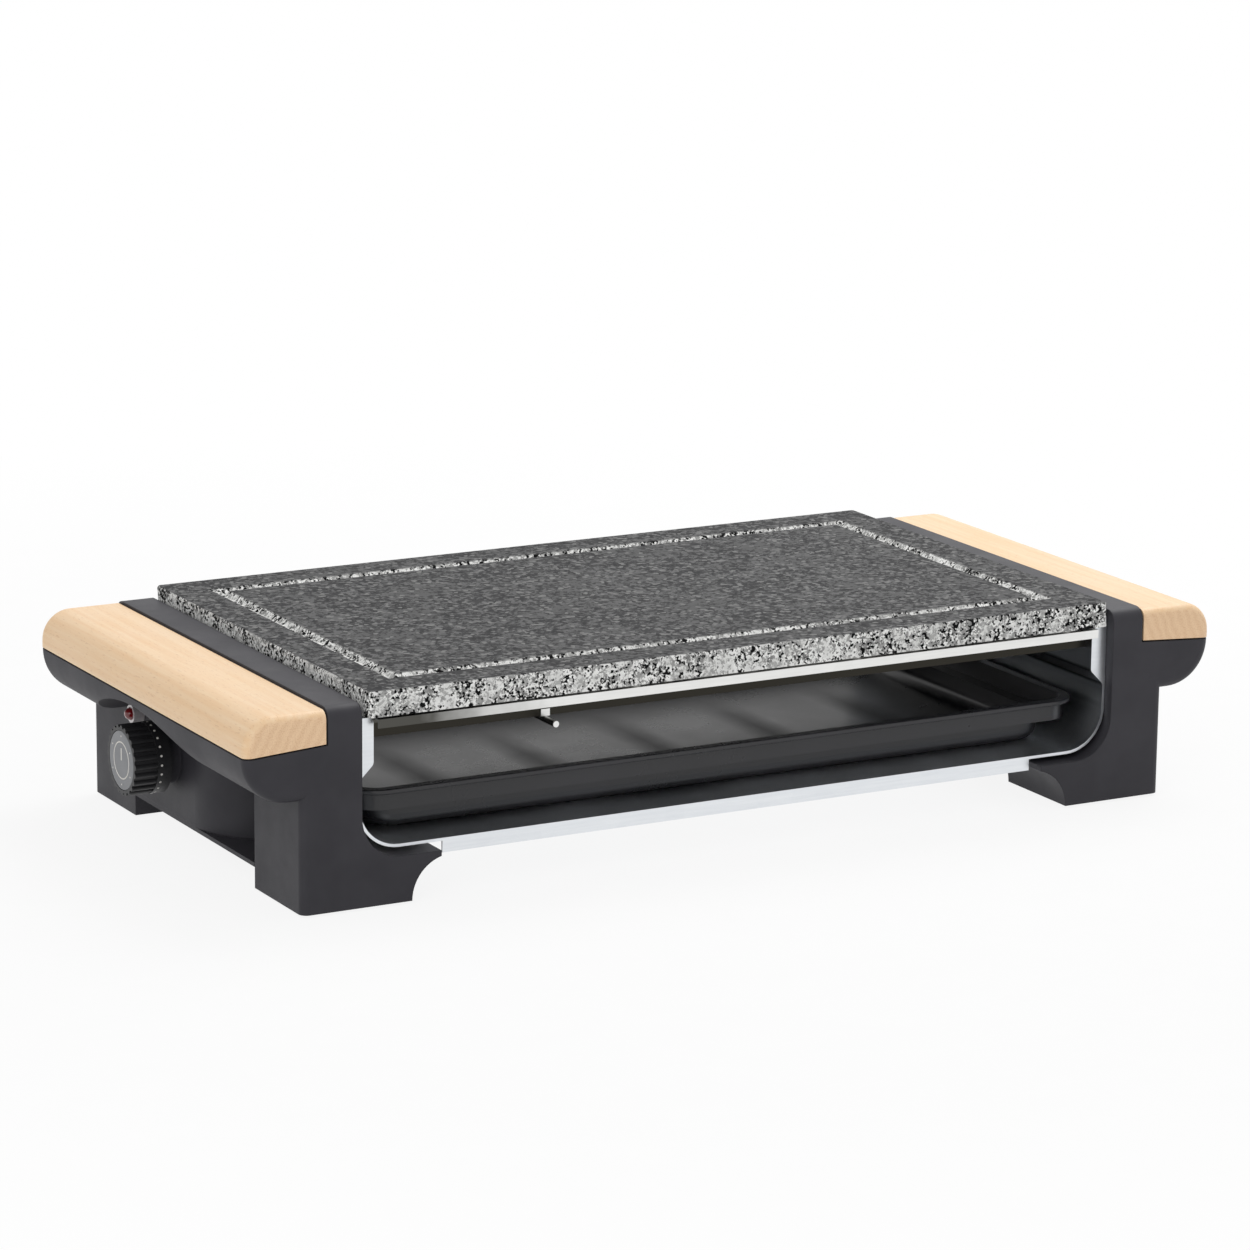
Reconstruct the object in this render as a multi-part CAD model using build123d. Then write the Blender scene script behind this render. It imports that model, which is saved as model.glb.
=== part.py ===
from build123d import *
import os
from math import acos, degrees, hypot, sqrt

# A table grill: a stone slab lies on two rails over a tubular heater and a drip tray, which slides
# in a bent sheet reflector held between two moulded end housings with beech handles.
# X runs along the length, the front looks along -Y, Z is up, and the table top is at zero.

# General sizes
CUT_OVERRUN = 2.0
SLIP_CLEARANCE = 0.3
HOLE_CLEARANCE = 0.15

# Stone slab
STONE_LENGTH = 402.0
STONE_WIDTH = 240.0
STONE_THICKNESS = 12.0
STONE_CORNER_RADIUS = 3.0
STONE_EDGE_RADIUS = 1.2
GROOVE_INSET = 20.0
GROOVE_WIDTH = 8.0
GROOVE_DEPTH = 2.5
GROOVE_LAND_SHARE = 0.4

# End housings
STONE_END_GAP = 3.0
STRIP_WIDTH = 17.0
STRIP_STEP = 1.1
STRIP_EDGE_RADIUS = 6.0
SEAT_HEIGHT = 76.6
SEAT_FALL = 2.7
BULLNOSE_RADIUS = 22.6
BULLNOSE_EDGE_RADIUS = 5.0
LEG_SETBACK = 27.7
LEG_LENGTH = 51.0
LEG_EDGE_RADIUS = 4.0
LEG_FOOT_WIDTH = 55.5
ARCH_RADIUS = 20.0
TOE_REACH = 15.0
BED_HEIGHT = 23.0
BED_RADIUS = 20.0
HOUSING_WALL = 2.5
SKIRT_HEIGHT = 13.0
BOW_START = -2.0
BOW_RADIUS = 38.0
BOW_DEPTH = 18.0
SCOOP_RADIUS = 130.0
SCOOP_CROWN_DROP = 3.6
SCOOP_CENTRE = 8.0

# Bottom covers and their screws
COVER_THICKNESS = 2.0
COVER_GAP = 0.4
COVER_RIM = 9.0
COVER_BOSS_DIAMETER = 7.0
COVER_BOSS_HEIGHT = 8.5
COVER_SCREW_DIAMETER = 3.0
COVER_SCREW_LENGTH = 7.0
COVER_SCREW_HEAD_DIAMETER = 5.6
COVER_SCREW_HEAD_HEIGHT = 1.8
COVER_SCREW_INSET = 5.0

# Foot pads
FOOT_DIAMETER = 16.0
FOOT_RELIEF = 1.0
FOOT_RECESS = 1.5

# Beech handles and their screws
HANDLE_WIDTH = 41.0
HANDLE_SIDE_GAP = 0.9
HANDLE_LIFT = 0.8
HANDLE_HEIGHT = 18.0
HANDLE_EDGE_HEIGHT = 3.5
HANDLE_END_RADIUS = 4.5
HANDLE_PAD_DIAMETER = 12.0
HANDLE_SCREW_DIAMETER = 4.0
HANDLE_SCREW_REACH = 14.0
HANDLE_SCREW_HEAD_DIAMETER = 8.0
HANDLE_SCREW_HEAD_HEIGHT = 2.4
HANDLE_SCREW_INSET = 25.0

# Reflector trough
SHEET = 1.0
TROUGH_FLOOR_LIFT = 3.0
TROUGH_WALL_GAP = 0.6
TROUGH_CORNER_RADIUS = 20.0
TROUGH_BEND_RADIUS = 3.0
JOGGLE_PLACE_SHARE = 0.525
JOGGLE_RISE = 7.0
JOGGLE_STEP = 7.0
TROUGH_WALL_HEIGHT = 88.2
TROUGH_SETBACK = 6.0
HEM_WIDTH = 1.4
RISER_WIDTH = 2.3
RISER_RISE = 4.8
LIP_HALF_LENGTH = 160.5
LIP_DROP = 7.0
STOP_HALF_LENGTH = 178.0
STOP_HEIGHT = 10.0
TROUGH_SCREW_DIAMETER = 3.5
TROUGH_SCREW_LENGTH = 9.0
TROUGH_SCREW_HEAD_DIAMETER = 7.0
TROUGH_SCREW_HEAD_HEIGHT = 1.6
TROUGH_SCREW_HEIGHT = 53.0
TROUGH_SCREW_INSET = 40.0
TROUGH_BOSS_DIAMETER = 9.0
TROUGH_BOSS_DEPTH = 8.0

# Stone rails
RAIL_HEIGHT = 4.2
RAIL_FLANGE = 12.0
RAIL_LEG_HEIGHT = 11.0
RAIL_SETBACK = 0.6
NUB_DIAMETER = 6.0
NUB_HEIGHT = 1.2
NUB_SPACING = 120.0
NUB_COUNT = 4
TAB_WIDTH = 4.6
TAB_HEIGHT = 3.4

# Heating element, its support rod, its end plates and its rest
ROD_DIAMETER = 3.0
ROD_OUTREACH = 105.0
ELEMENT_DIAMETER = 6.5
ELEMENT_RUN_COUNT = 4
ELEMENT_RUN_SPACING = 42.0
ELEMENT_TURN_RADIUS = 18.0
ELEMENT_RIGHT_GAP = 23.4
ELEMENT_LEFT_GAP = 45.4
ELEMENT_TAIL = 11.6
ELEMENT_PLATE_LENGTH = 26.0
ELEMENT_PLATE_HEIGHT = 11.0
ELEMENT_PLATE_THICKNESS = 1.2
ELEMENT_WINDOW_MARGIN = 1.5
REST_WIDTH = 14.0
REST_THICKNESS = 1.2
REST_UPRIGHT = 8.0
REST_OVERREACH = 3.0
TERMINAL_DIAMETER = 3.0
TERMINAL_LENGTH = 7.0

# Knob, thermostat and lamp, on the left housing
KNOB_CENTRE_Y = 27.5
KNOB_CENTRE_HEIGHT = 41.5
KNOB_BOSS_DIAMETER = 27.0
KNOB_BOSS_LENGTH = 5.8
KNOB_SKIRT_DIAMETER = 34.6
KNOB_SKIRT_LENGTH = 7.0
KNOB_GRIP_DIAMETER = 31.6
KNOB_GRIP_LENGTH = 11.6
KNOB_RIB_COUNT = 24
KNOB_RIB_RADIUS = 1.3
KNOB_BACK_RECESS = 6.0
KNOB_WALL = 3.0
KNOB_FACE_DIAMETER = 28.6
KNOB_FACE_THICKNESS = 1.2
KNOB_FACE_EDGE_RADIUS = 0.4
SHAFT_DIAMETER = 6.0
SHAFT_KNOB_DEPTH = 9.0
SHAFT_FLAT_SHARE = 0.75
SHAFT_TAIL = 3.0
THERMOSTAT_DIAMETER = 30.0
THERMOSTAT_LENGTH = 15.0
THERMOSTAT_EAR_LENGTH = 40.0
THERMOSTAT_EAR_WIDTH = 12.0
THERMOSTAT_PLATE_THICKNESS = 1.5
BUSHING_DIAMETER = 9.0
BUSHING_SHOW = 1.0
NUT_WIDTH = 12.0
NUT_THICKNESS = 2.5
LAMP_CENTRE_Y = 61.0
LAMP_SEAT_DROP = 22.3
LAMP_BEZEL_DIAMETER = 9.0
LAMP_BEZEL_LENGTH = 5.5
LAMP_BARREL_DIAMETER = 6.6
LAMP_BARREL_LENGTH = 14.0
LAMP_LENS_DIAMETER = 6.0
LAMP_LENS_LENGTH = 3.0

# Mains inlet: gland and terminal block
GLAND_FLANGE_DIAMETER = 18.0
GLAND_FLANGE_THICKNESS = 1.5
GLAND_BODY_DIAMETER = 13.0
GLAND_BODY_LENGTH = 12.0
GLAND_BORE = 7.0
GLAND_HEIGHT = 40.0
GLAND_OUTREACH = 219.0
BLOCK_LENGTH = 34.0
BLOCK_WIDTH = 15.0
BLOCK_HEIGHT = 9.0
BLOCK_WAY_COUNT = 3
BLOCK_WAY_DIAMETER = 4.0

# Drip tray
TRAY_HEIGHT = 22.7
TRAY_FRONT_SETBACK = 16.0
TRAY_BACK_SETBACK = 9.0
TRAY_SIDE_GAP = 4.5
TRAY_FLOOR_GAP = 0.3
TRAY_SHEET = 1.2
TRAY_RIM_WIDTH = 4.0
TRAY_RIM_HEIGHT = 2.4
TRAY_BAND_HEIGHT = 10.5
TRAY_STEP = 8.0
TRAY_CORNER_RADIUS = 16.0
TRAY_BODY_CORNER_RADIUS = 16.0
TRAY_FOOT_RADIUS = 7.0
TRAY_RIM_EDGE_RADIUS = 0.9

# Places that follow from the sizes above
HALF_DEPTH = STONE_WIDTH / 2
INNER_X = STONE_LENGTH / 2 + STONE_END_GAP
SEAT_X = INNER_X + STRIP_WIDTH
OUTER_X = SEAT_X + HANDLE_WIDTH
LEG_OUTER_X = OUTER_X - LEG_SETBACK
LEG_INNER_X = LEG_OUTER_X - LEG_FOOT_WIDTH
TOE_X = LEG_INNER_X - TOE_REACH
LEG_BOTTOM = FOOT_RELIEF
LEG_Y = HALF_DEPTH - LEG_LENGTH
BULLNOSE_BOTTOM = SEAT_HEIGHT - BULLNOSE_RADIUS
HANDLE_BOTTOM = SEAT_HEIGHT + HANDLE_LIFT
HANDLE_TOP = HANDLE_BOTTOM + HANDLE_HEIGHT
HANDLE_PAD_HEIGHT = HANDLE_LIFT * HANDLE_WIDTH / hypot(HANDLE_WIDTH, SEAT_FALL)
STRIP_TOP_HEIGHT = HANDLE_TOP + STRIP_STEP
SCOOP_CROWN_HEIGHT = SEAT_HEIGHT - SCOOP_CROWN_DROP
LAMP_CENTRE_HEIGHT = SEAT_HEIGHT - LAMP_SEAT_DROP
FLOOR_UNDERSIDE = BED_HEIGHT + TROUGH_FLOOR_LIFT
FLOOR_TOP = FLOOR_UNDERSIDE + SHEET
WALL_X = INNER_X - TROUGH_WALL_GAP - SHEET
UPPER_WALL_X = WALL_X - JOGGLE_STEP
JOGGLE_HEIGHT = FLOOR_TOP + JOGGLE_PLACE_SHARE * (TROUGH_WALL_HEIGHT - FLOOR_TOP)
RISER_HEIGHT = TROUGH_WALL_HEIGHT + RISER_RISE
RAIL_TOP = TROUGH_WALL_HEIGHT
STONE_BOTTOM = RAIL_TOP + NUB_HEIGHT
TROUGH_Y = HALF_DEPTH - TROUGH_SETBACK
RAIL_FACE_Y = HALF_DEPTH - RAIL_SETBACK
RAIL_LEG_BOTTOM = RAIL_TOP - RAIL_LEG_HEIGHT
ROD_TOP = RAIL_LEG_BOTTOM
ELEMENT_HEIGHT = ROD_TOP + ELEMENT_DIAMETER / 2
ELEMENT_RIGHT_REACH = UPPER_WALL_X - ELEMENT_RIGHT_GAP
ELEMENT_LEFT_REACH = UPPER_WALL_X - ELEMENT_LEFT_GAP
KNOB_BACK_X = LEG_OUTER_X + KNOB_BOSS_LENGTH + SLIP_CLEARANCE
PANEL_INNER_X = LEG_OUTER_X - HOUSING_WALL


def prism(face, depth):
    """Extrude a face drawn in X and Z by the same depth to the front and to the back."""
    return extrude(Plane.XZ * face, amount=depth, both=True)


def slab(x_range, y_range, z_range):
    """A box between three pairs of limits."""
    sizes = [high - low for low, high in (x_range, y_range, z_range)]
    centre = [(low + high) / 2 for low, high in (x_range, y_range, z_range)]
    return Pos(*centre) * Box(*sizes)


def outward(x, y, z):
    """A plane at a point of the right-hand end, with its normal towards +X."""
    return Plane(origin=(x, y, z), x_dir=(0, 1, 0), z_dir=(1, 0, 0))


def rod(diameter, length):
    """A cylinder that starts at the origin and runs along +Z."""
    return extrude(Circle(diameter / 2), amount=length)


def screw(diameter, length, head_diameter, head_height):
    """A screw with its head seat at the origin, its shank along +Z and a slot across its head."""
    head = Pos(0, 0, -head_height) * rod(head_diameter, head_height)
    slot = Pos(0, 0, -head_height) * Box(head_diameter, diameter / 4, head_height)
    return head - slot + rod(diameter, length)


def mirrored(part):
    """The same piece at the left-hand end."""
    return mirror(part, about=Plane.YZ)


def seat_height(x):
    """Height of the handle's seat, which falls towards the outside."""
    return SEAT_HEIGHT + SEAT_FALL * (OUTER_X - x) / HANDLE_WIDTH


def seat_planes(depth):
    """Planes square to the handle's seat at its two screws, at a depth below the seat."""
    middle = (SEAT_X + OUTER_X) / 2
    reach = HALF_DEPTH - HANDLE_SCREW_INSET
    places = [(middle, side * reach, seat_height(middle)) for side in (-1, 1)]
    slope = (HANDLE_WIDTH, 0, -SEAT_FALL)
    upright = (SEAT_FALL, 0, HANDLE_WIDTH)
    return [Plane(place, x_dir=slope, z_dir=upright).offset(-depth) for place in places]


def housing_section():
    """Outline of an end housing across its length: strip, seat, bullnose, leg, toe and bed."""
    bull_x = OUTER_X - BULLNOSE_RADIUS
    arch_x = LEG_INNER_X - ARCH_RADIUS
    toe_angle = degrees(acos((TOE_X - arch_x) / ARCH_RADIUS))
    seat = Polyline(
        (INNER_X, BED_HEIGHT + BED_RADIUS),
        (INNER_X, STRIP_TOP_HEIGHT),
        (SEAT_X, STRIP_TOP_HEIGHT),
        (SEAT_X, seat_height(SEAT_X)),
        (OUTER_X, SEAT_HEIGHT),
    )
    bullnose = CenterArc((bull_x, SEAT_HEIGHT), BULLNOSE_RADIUS, 0, -90)
    leg = Polyline(
        (bull_x, BULLNOSE_BOTTOM),
        (LEG_OUTER_X, BULLNOSE_BOTTOM),
        (LEG_OUTER_X, LEG_BOTTOM),
        (LEG_INNER_X, LEG_BOTTOM),
    )
    arch = CenterArc((arch_x, LEG_BOTTOM), ARCH_RADIUS, 0, toe_angle)
    toe = Polyline(arch @ 1, (TOE_X, BED_HEIGHT), (INNER_X - BED_RADIUS, BED_HEIGHT))
    bed = CenterArc((INNER_X - BED_RADIUS, BED_HEIGHT + BED_RADIUS), BED_RADIUS, -90, 90)
    return make_face(Curve() + [seat, bullnose, leg, arch, toe, bed])


def bow_recess(grow):
    """Space in front of the end panel where it bows in behind the front leg, grown by a wall."""
    radius = BOW_RADIUS - grow
    inner_x = LEG_OUTER_X - BOW_DEPTH - grow
    turn = degrees(acos((inner_x - LEG_OUTER_X + BOW_RADIUS) / radius))
    bow = CenterArc((LEG_OUTER_X - BOW_RADIUS, BOW_START), radius, 0, -turn)
    rest = Polyline(
        bow @ 1,
        (inner_x, -LEG_Y - grow),
        (OUTER_X, -LEG_Y - grow),
        (OUTER_X, BOW_START),
        bow @ 0,
    )
    plan = make_face(Curve() + [bow, rest])
    bottom = SKIRT_HEIGHT - grow
    return Pos(0, 0, bottom) * extrude(plan, amount=BULLNOSE_BOTTOM + grow - bottom)


def finger_scoop(grow):
    """Round cut through the bullnose over the knob, grown by a wall."""
    start = outward(LEG_OUTER_X - grow, SCOOP_CENTRE, SCOOP_CROWN_HEIGHT - SCOOP_RADIUS)
    return start * rod(2 * (SCOOP_RADIUS + grow), OUTER_X - LEG_OUTER_X + grow)


def under_skirt(grow):
    """Passage between the two legs, under the skirt of the end panel."""
    reach = LEG_Y + grow
    return slab(
        (TOE_X - CUT_OVERRUN, OUTER_X), (-reach, reach), (-CUT_OVERRUN, SKIRT_HEIGHT + grow)
    )


def cover_limits():
    """Inner and outer edge of the skirt's opening."""
    arch_x = LEG_INNER_X - ARCH_RADIUS
    inner = arch_x + sqrt(ARCH_RADIUS**2 - (SKIRT_HEIGHT - LEG_BOTTOM) ** 2)
    return inner, LEG_OUTER_X


def cover_screw_places():
    """Places of a bottom cover's screws, clear of the bowed panel."""
    inner, outer = cover_limits()
    inner_x = inner + COVER_RIM
    outer_x = outer - BOW_DEPTH - COVER_RIM
    reach = LEG_Y - COVER_SCREW_INSET
    return [(x, y) for x in (inner_x, outer_x) for y in (-reach, reach)]


def foot_places():
    """Places of the foot pads under one housing's legs."""
    middle_x = (LEG_INNER_X + LEG_OUTER_X) / 2
    reach = HALF_DEPTH - LEG_LENGTH / 2
    return [(middle_x, -reach), (middle_x, reach)]


def trough_screw_places():
    """Places along the depth of the screws that hold a trough wall, out of sight from the front."""
    return [0, HALF_DEPTH - TROUGH_SCREW_INSET]


def core_prism():
    """Strip, leg and toe of a housing, with rounded strip ends and leg edges."""
    arch_x = LEG_INNER_X - ARCH_RADIUS
    toe_angle = degrees(acos((TOE_X - arch_x) / ARCH_RADIUS))
    arch = CenterArc((arch_x, LEG_BOTTOM), ARCH_RADIUS, 0, toe_angle)
    bed = CenterArc((INNER_X - BED_RADIUS, BED_HEIGHT + BED_RADIUS), BED_RADIUS, -90, 90)
    sides = Polyline(
        bed @ 1,
        (INNER_X, STRIP_TOP_HEIGHT),
        (SEAT_X, STRIP_TOP_HEIGHT),
        (SEAT_X, seat_height(SEAT_X)),
        (LEG_OUTER_X, seat_height(LEG_OUTER_X)),
        (LEG_OUTER_X, LEG_BOTTOM),
        arch @ 0,
    )
    toe = Polyline(arch @ 1, (TOE_X, BED_HEIGHT), bed @ 0)
    core = prism(make_face(Curve() + [sides, arch, toe, bed]), HALF_DEPTH)
    strip_ends = core.edges().filter_by(Axis.X).group_by(Axis.Z)[-1]
    core = fillet(strip_ends, STRIP_EDGE_RADIUS)
    leg_edges = core.edges().filter_by(Axis.Z).group_by(Axis.X)[-1]
    return fillet(leg_edges, LEG_EDGE_RADIUS)


def bullnose_prism():
    """Rounded shelf under the handle, with softened ends."""
    bull_x = OUTER_X - BULLNOSE_RADIUS
    nose = CenterArc((bull_x, SEAT_HEIGHT), BULLNOSE_RADIUS, 0, -90)
    rest = Polyline(nose @ 1, (SEAT_X, BULLNOSE_BOTTOM), (SEAT_X, seat_height(SEAT_X)), nose @ 0)
    shelf = prism(make_face(Curve() + [nose, rest]), HALF_DEPTH)
    ends = shelf.edges().filter_by(GeomType.CIRCLE)
    return fillet(ends, BULLNOSE_EDGE_RADIUS)


def housing(control):
    """Hollow moulded end housing, with the scoop, boss and holes of the control end on request."""
    shell = core_prism() + bullnose_prism()
    shell -= under_skirt(0) + bow_recess(0)
    inside = offset(housing_section(), amount=-HOUSING_WALL, kind=Kind.INTERSECTION)
    hollow = prism(inside, HALF_DEPTH - HOUSING_WALL)
    hollow -= under_skirt(HOUSING_WALL) + bow_recess(HOUSING_WALL)
    if control:
        shell -= finger_scoop(0)
        hollow -= finger_scoop(HOUSING_WALL)
    shell -= hollow
    inner, outer = cover_limits()
    mouth_reach = LEG_Y - COVER_SCREW_INSET - COVER_BOSS_DIAMETER / 2
    shell -= slab(
        (inner + HOUSING_WALL, outer - BOW_DEPTH - 2 * HOUSING_WALL),
        (-mouth_reach, mouth_reach),
        (SKIRT_HEIGHT - CUT_OVERRUN, SKIRT_HEIGHT + HOUSING_WALL),
    )
    for x, y in cover_screw_places():
        shell += Pos(x, y, SKIRT_HEIGHT) * rod(COVER_BOSS_DIAMETER, COVER_BOSS_HEIGHT)
        shell -= Pos(x, y, SKIRT_HEIGHT - CUT_OVERRUN) * rod(
            COVER_SCREW_DIAMETER + 2 * HOLE_CLEARANCE,
            CUT_OVERRUN + COVER_SCREW_LENGTH - COVER_THICKNESS + SLIP_CLEARANCE,
        )
    for x, y in foot_places():
        shell -= Pos(x, y, 0) * rod(FOOT_DIAMETER + 2 * HOLE_CLEARANCE, LEG_BOTTOM + FOOT_RECESS)
    for seat in seat_planes(0):
        shell += seat * rod(HANDLE_PAD_DIAMETER, HANDLE_PAD_HEIGHT)
    for seat in seat_planes(HOUSING_WALL):
        shell -= seat * rod(
            HANDLE_SCREW_DIAMETER + 2 * HOLE_CLEARANCE, HOUSING_WALL + HANDLE_PAD_HEIGHT
        )
    for y in trough_screw_places():
        face = outward(INNER_X - TROUGH_WALL_GAP, y, TROUGH_SCREW_HEIGHT)
        depth = TROUGH_WALL_GAP + TROUGH_BOSS_DEPTH
        shell += face * rod(TROUGH_BOSS_DIAMETER, depth)
        shell -= face * rod(TROUGH_SCREW_DIAMETER + 2 * HOLE_CLEARANCE, depth)
    if control:
        shell = control_cuts(shell)
    return shell


def control_cuts(shell):
    """Knob boss and the holes for the bushing, lamp, heater ends and mains inlet."""
    panel = outward(LEG_OUTER_X, KNOB_CENTRE_Y, KNOB_CENTRE_HEIGHT)
    shell += panel * rod(KNOB_BOSS_DIAMETER, KNOB_BOSS_LENGTH)
    depth = KNOB_BOSS_LENGTH + HOUSING_WALL
    inside = outward(PANEL_INNER_X, KNOB_CENTRE_Y, KNOB_CENTRE_HEIGHT)
    shell -= inside * rod(BUSHING_DIAMETER + 2 * HOLE_CLEARANCE, depth)
    lamp = outward(PANEL_INNER_X, LAMP_CENTRE_Y, LAMP_CENTRE_HEIGHT)
    shell -= lamp * rod(LAMP_BARREL_DIAMETER + 2 * HOLE_CLEARANCE, HOUSING_WALL)
    for y in element_tail_places():
        window = outward(INNER_X, y, ELEMENT_HEIGHT)
        shell -= window * rod(ELEMENT_DIAMETER + 2 * ELEMENT_WINDOW_MARGIN, HOUSING_WALL)
    inlet = Plane(origin=(GLAND_OUTREACH, HALF_DEPTH, GLAND_HEIGHT), z_dir=(0, -1, 0))
    shell -= inlet * rod(GLAND_FLANGE_DIAMETER + 2 * HOLE_CLEARANCE, GLAND_FLANGE_THICKNESS)
    shell -= inlet * rod(GLAND_BODY_DIAMETER + 2 * HOLE_CLEARANCE, HOUSING_WALL)
    return shell


def bottom_cover():
    """Flat plate that closes the skirt from below and carries its straight lower edge."""
    inner, outer = cover_limits()
    reach = LEG_Y - COVER_GAP
    plate = slab(
        (inner, outer), (-reach, reach), (SKIRT_HEIGHT - COVER_THICKNESS, SKIRT_HEIGHT)
    )
    for x, y in cover_screw_places():
        plate -= Pos(x, y, SKIRT_HEIGHT - COVER_THICKNESS) * rod(
            COVER_SCREW_DIAMETER + 2 * HOLE_CLEARANCE, COVER_THICKNESS
        )
    return plate


def cover_screws():
    """Screws of one bottom cover, driven from below."""
    item = screw(
        COVER_SCREW_DIAMETER, COVER_SCREW_LENGTH, COVER_SCREW_HEAD_DIAMETER, COVER_SCREW_HEAD_HEIGHT
    )
    seat = SKIRT_HEIGHT - COVER_THICKNESS
    return [Pos(x, y, seat) * item for x, y in cover_screw_places()]


def foot_pads():
    """Rubber pads pressed up into the legs of one housing."""
    height = LEG_BOTTOM + FOOT_RECESS
    return [Pos(x, y, 0) * rod(FOOT_DIAMETER, height) for x, y in foot_places()]


def handle():
    """Beech bar with a round outer shoulder and softened ends."""
    radius = HANDLE_HEIGHT - HANDLE_EDGE_HEIGHT
    inner = SEAT_X + HANDLE_SIDE_GAP
    shoulder = CenterArc((OUTER_X - radius, HANDLE_TOP - radius), radius, 90, -90)
    rest = Polyline(
        shoulder @ 1,
        (OUTER_X, HANDLE_BOTTOM),
        (inner, seat_height(inner) + HANDLE_LIFT),
        (inner, HANDLE_TOP),
        shoulder @ 0,
    )
    bar = prism(make_face(Curve() + [shoulder, rest]), HALF_DEPTH)
    ends = bar.edges().filter_by(GeomType.CIRCLE)
    ends += bar.edges().filter_by(Axis.X).group_by(Axis.Z)[-1]
    ends += bar.edges().filter_by(Axis.Z).group_by(Axis.X)[-1]
    bar = fillet(ends, HANDLE_END_RADIUS)
    for seat in seat_planes(HOUSING_WALL):
        bar -= seat * rod(
            HANDLE_SCREW_DIAMETER + 2 * HOLE_CLEARANCE, HANDLE_SCREW_REACH + SLIP_CLEARANCE
        )
    return bar


def handle_screws():
    """Screws of one handle, driven up from inside the housing."""
    item = screw(
        HANDLE_SCREW_DIAMETER,
        HANDLE_SCREW_REACH,
        HANDLE_SCREW_HEAD_DIAMETER,
        HANDLE_SCREW_HEAD_HEIGHT,
    )
    return [seat * item for seat in seat_planes(HOUSING_WALL)]


def trough_trace():
    """Inner line of the bent sheet, from the left top flange round to the right one."""
    flange_x = WALL_X + HEM_WIDTH
    right = [
        (WALL_X, FLOOR_TOP),
        (WALL_X, JOGGLE_HEIGHT),
        (UPPER_WALL_X, JOGGLE_HEIGHT + JOGGLE_RISE),
        (UPPER_WALL_X, TROUGH_WALL_HEIGHT),
        (flange_x, TROUGH_WALL_HEIGHT),
    ]
    left = [(-x, z) for x, z in reversed(right)]
    bends = [TROUGH_BEND_RADIUS] * 3
    return FilletPolyline(
        *left, *right, radius=bends + [TROUGH_CORNER_RADIUS, TROUGH_CORNER_RADIUS] + bends
    )


def trough_end_flange():
    """Outline of the flange turned outward at each end of the trough."""
    half = WALL_X + HEM_WIDTH
    bottom = FLOOR_TOP - HEM_WIDTH
    frame = Polyline(
        (-half, TROUGH_WALL_HEIGHT),
        (-half, bottom),
        (half, bottom),
        (half, TROUGH_WALL_HEIGHT),
        close=True,
    )
    plate = make_face(frame)
    plate = fillet(plate.vertices().group_by(Axis.Y)[0], TROUGH_CORNER_RADIUS + HEM_WIDTH)
    trace = trough_trace()
    mouth = make_face(Curve() + [trace, Line(trace @ 1, trace @ 0)])
    riser_height = RISER_HEIGHT - TROUGH_WALL_HEIGHT + SHEET
    for side in (-1, 1):
        riser = Rectangle(RISER_WIDTH, riser_height)
        plate += Pos(side * (half - RISER_WIDTH / 2), RISER_HEIGHT - riser_height / 2) * riser
    return plate - mouth


def reflector_trough():
    """Bent sheet trough with joggled walls, end flanges, front lip and rear tray stop."""
    sheet = make_face(offset(trough_trace(), amount=SHEET, side=Side.RIGHT, closed=True))
    trough = prism(sheet, TROUGH_Y - SHEET)
    flange = extrude(Plane.XZ * trough_end_flange(), amount=SHEET)
    trough += Pos(0, SHEET - TROUGH_Y, 0) * flange
    trough += Pos(0, TROUGH_Y, 0) * flange
    trough += slab(
        (-LIP_HALF_LENGTH, LIP_HALF_LENGTH),
        (-TROUGH_Y, SHEET - TROUGH_Y),
        (FLOOR_TOP - LIP_DROP, FLOOR_TOP),
    )
    trough += slab(
        (-STOP_HALF_LENGTH, STOP_HALF_LENGTH),
        (TROUGH_Y - SHEET, TROUGH_Y),
        (FLOOR_TOP - SHEET, FLOOR_TOP + STOP_HEIGHT),
    )
    for y in trough_screw_places():
        across = outward(-INNER_X, y, TROUGH_SCREW_HEIGHT)
        trough -= across * rod(TROUGH_SCREW_DIAMETER + 2 * HOLE_CLEARANCE, 2 * INNER_X)
    for y in element_tail_places():
        hole = outward(-INNER_X, y, ELEMENT_HEIGHT)
        trough -= hole * rod(ELEMENT_DIAMETER + 2 * HOLE_CLEARANCE, INNER_X - UPPER_WALL_X)
    return trough


def trough_screws():
    """Screws through one trough wall into the bosses of its housing."""
    item = screw(
        TROUGH_SCREW_DIAMETER,
        TROUGH_SCREW_LENGTH,
        TROUGH_SCREW_HEAD_DIAMETER,
        TROUGH_SCREW_HEAD_HEIGHT,
    )
    return [outward(WALL_X, y, TROUGH_SCREW_HEIGHT) * item for y in trough_screw_places()]


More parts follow.
